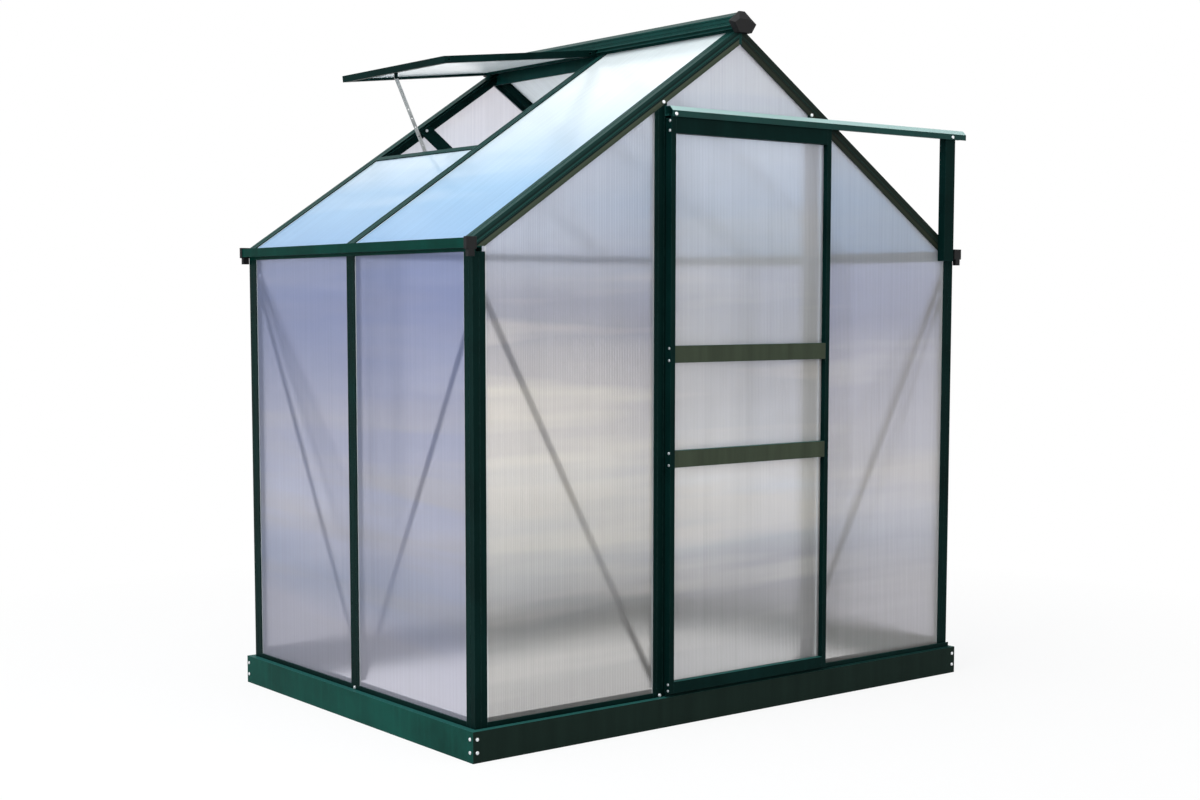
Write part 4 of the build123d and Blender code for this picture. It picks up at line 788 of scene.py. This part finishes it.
STAGE_SIZE = 30.0
KEEP_SHADOW = 0.14
SHADOW_NEAR = 1.2
SHADOW_FAR = 3.0
PALE_FLOOR = (0.82, 0.82, 0.82, 1.0)
AMBIENT_TINT = (0.94, 0.97, 1.0, 1.0)
# Soft boxes: place, the point that they face, size and colour
KEY_PLACE = (-6.0, -1.5, 3.6)
FILL_PLACE = (2.5, -7.0, 2.8)
TOP_PLACE = (-1.5, -0.5, 6.5)
WALL_MIDDLE = (0.0, 0.0, 0.9)
ROOF_MIDDLE = (0.0, 0.0, 1.5)
SIDE_BOX = 4.0
TOP_BOX = 5.0
COOL_LIGHT = (0.9, 0.96, 1.0)
WARM_LIGHT = (1.0, 0.97, 0.93)
SKY_LIGHT = (0.97, 0.99, 1.0)


def seen_directly(nodes):
    """1 for rays from the camera and for those that metal or glass sends on."""
    path = nodes.add("LightPath").outputs
    bent = nodes.math("MAXIMUM", path["Is Glossy Ray"], path["Is Transmission Ray"])
    return nodes.math("MAXIMUM", path["Is Camera Ray"], bent)


class WorldNodes(Nodes):
    """Adds and joins the nodes of the world."""

    def __init__(self, world):
        world.use_nodes = True
        self.tree = world.node_tree
        self.tree.nodes.clear()


def make_world(scene, ambient):
    """White backdrop to look at, and even light all round."""
    scene.world = bpy.data.worlds.new("studio")
    nodes = WorldNodes(scene.world)
    backdrop = nodes.add("Background", {"Color": WHITE, "Strength": 1.0})
    light = nodes.add("Background", {"Color": AMBIENT_TINT, "Strength": ambient})
    both = nodes.mix(seen_directly(nodes), light, backdrop)
    nodes.add("OutputWorld", {"Surface": both.outputs[0]})


def make_floor(scene):
    """Pale floor that shows white and keeps a faint shadow."""
    mesh = bpy.data.meshes.new("floor")
    plane = bmesh.new()
    bmesh.ops.create_grid(plane, x_segments=1, y_segments=1, size=STAGE_SIZE / 2)
    plane.to_mesh(mesh)
    plane.free()
    floor = bpy.data.objects.new("floor", mesh)
    scene.collection.objects.link(floor)
    nodes = Nodes("floor_white")
    matt = nodes.add("BsdfDiffuse", {"Color": PALE_FLOOR})
    glow = nodes.add("Emission", {"Color": WHITE, "Strength": 1.0})
    away = nodes.add("VectorMath", {0: nodes.place()}, operation="LENGTH").outputs["Value"]
    white = nodes.span(away, SHADOW_NEAR, SHADOW_FAR, 1.0 - KEEP_SHADOW, 1.0)
    share = nodes.math("MULTIPLY", seen_directly(nodes), white)
    mesh.materials.append(nodes.finish(nodes.mix(share, matt, glow)))


def soft_box(scene, name, place, target, size, power, colour):
    """Square area lamp that faces a point."""
    lamp = bpy.data.lights.new(name, "AREA")
    lamp.size = size
    lamp.energy = power
    lamp.color = colour
    lamp_object = bpy.data.objects.new(name, lamp)
    lamp_object.location = place
    lamp_object.rotation_euler = (Vector(target) - Vector(place)).to_track_quat("-Z", "Y").to_euler()
    scene.collection.objects.link(lamp_object)


def make_camera(scene, studio):
    """Camera that stands where the settings say."""
    lens = bpy.data.cameras.new("camera")
    lens.lens = studio.camera_lens
    lens.shift_x, lens.shift_y = studio.camera_shift
    camera = bpy.data.objects.new("camera", lens)
    camera.location = studio.camera_place
    camera.rotation_euler = Euler((math.pi / 2 - studio.camera_pitch, 0, -studio.camera_yaw))
    scene.collection.objects.link(camera)
    scene.camera = camera


class GREENHOUSE_OT_stage(bpy.types.Operator):
    """Floor, backdrop, lamps and camera"""

    bl_idname = "greenhouse.stage"
    bl_label = "Set the Stage"

    def execute(self, context):
        scene = context.scene
        studio = scene.greenhouse_studio
        scene.view_settings.view_transform = "Standard"
        make_world(scene, studio.ambient)
        make_floor(scene)
        soft_box(scene, "key", KEY_PLACE, WALL_MIDDLE, SIDE_BOX, studio.key_power, COOL_LIGHT)
        soft_box(scene, "fill", FILL_PLACE, WALL_MIDDLE, SIDE_BOX, studio.fill_power, WARM_LIGHT)
        soft_box(scene, "top", TOP_PLACE, ROOF_MIDDLE, TOP_BOX, studio.top_power, SKY_LIGHT)
        make_camera(scene, studio)
        return {"FINISHED"}


OPERATORS = (
    GREENHOUSE_OT_coat_frame,
    GREENHOUSE_OT_coat_door,
    GREENHOUSE_OT_coat_roof,
    GREENHOUSE_OT_coat_base,
    GREENHOUSE_OT_finish_plastics,
    GREENHOUSE_OT_finish_metals,
    GREENHOUSE_OT_glaze_walls,
    GREENHOUSE_OT_glaze_gables,
    GREENHOUSE_OT_glaze_door,
    GREENHOUSE_OT_glaze_roof,
    GREENHOUSE_OT_stage,
)


class GREENHOUSE_PT_panel(bpy.types.Panel):
    """Steps that dress the greenhouse"""

    bl_label = "Greenhouse"
    bl_space_type = "VIEW_3D"
    bl_region_type = "UI"
    bl_category = "Greenhouse"

    def draw(self, context):
        for operator in OPERATORS:
            self.layout.operator(operator.bl_idname)


CLASSES = (GreenhouseFinish, GreenhouseStudio, *OPERATORS, GREENHOUSE_PT_panel)


def register():
    for cls in CLASSES:
        bpy.utils.register_class(cls)
    bpy.types.Scene.greenhouse_finish = bpy.props.PointerProperty(type=GreenhouseFinish)
    bpy.types.Scene.greenhouse_studio = bpy.props.PointerProperty(type=GreenhouseStudio)


def unregister():
    del bpy.types.Scene.greenhouse_finish
    del bpy.types.Scene.greenhouse_studio
    for cls in reversed(CLASSES):
        bpy.utils.unregister_class(cls)


def main():
    register()
    bpy.ops.greenhouse.coat_frame()
    bpy.ops.greenhouse.coat_door()
    bpy.ops.greenhouse.coat_roof()
    bpy.ops.greenhouse.coat_base()
    bpy.ops.greenhouse.finish_plastics()
    bpy.ops.greenhouse.finish_metals()
    bpy.ops.greenhouse.glaze_walls()
    bpy.ops.greenhouse.glaze_gables()
    bpy.ops.greenhouse.glaze_door()
    bpy.ops.greenhouse.glaze_roof()
    bpy.ops.greenhouse.stage()


if __name__ == "__main__":
    main()
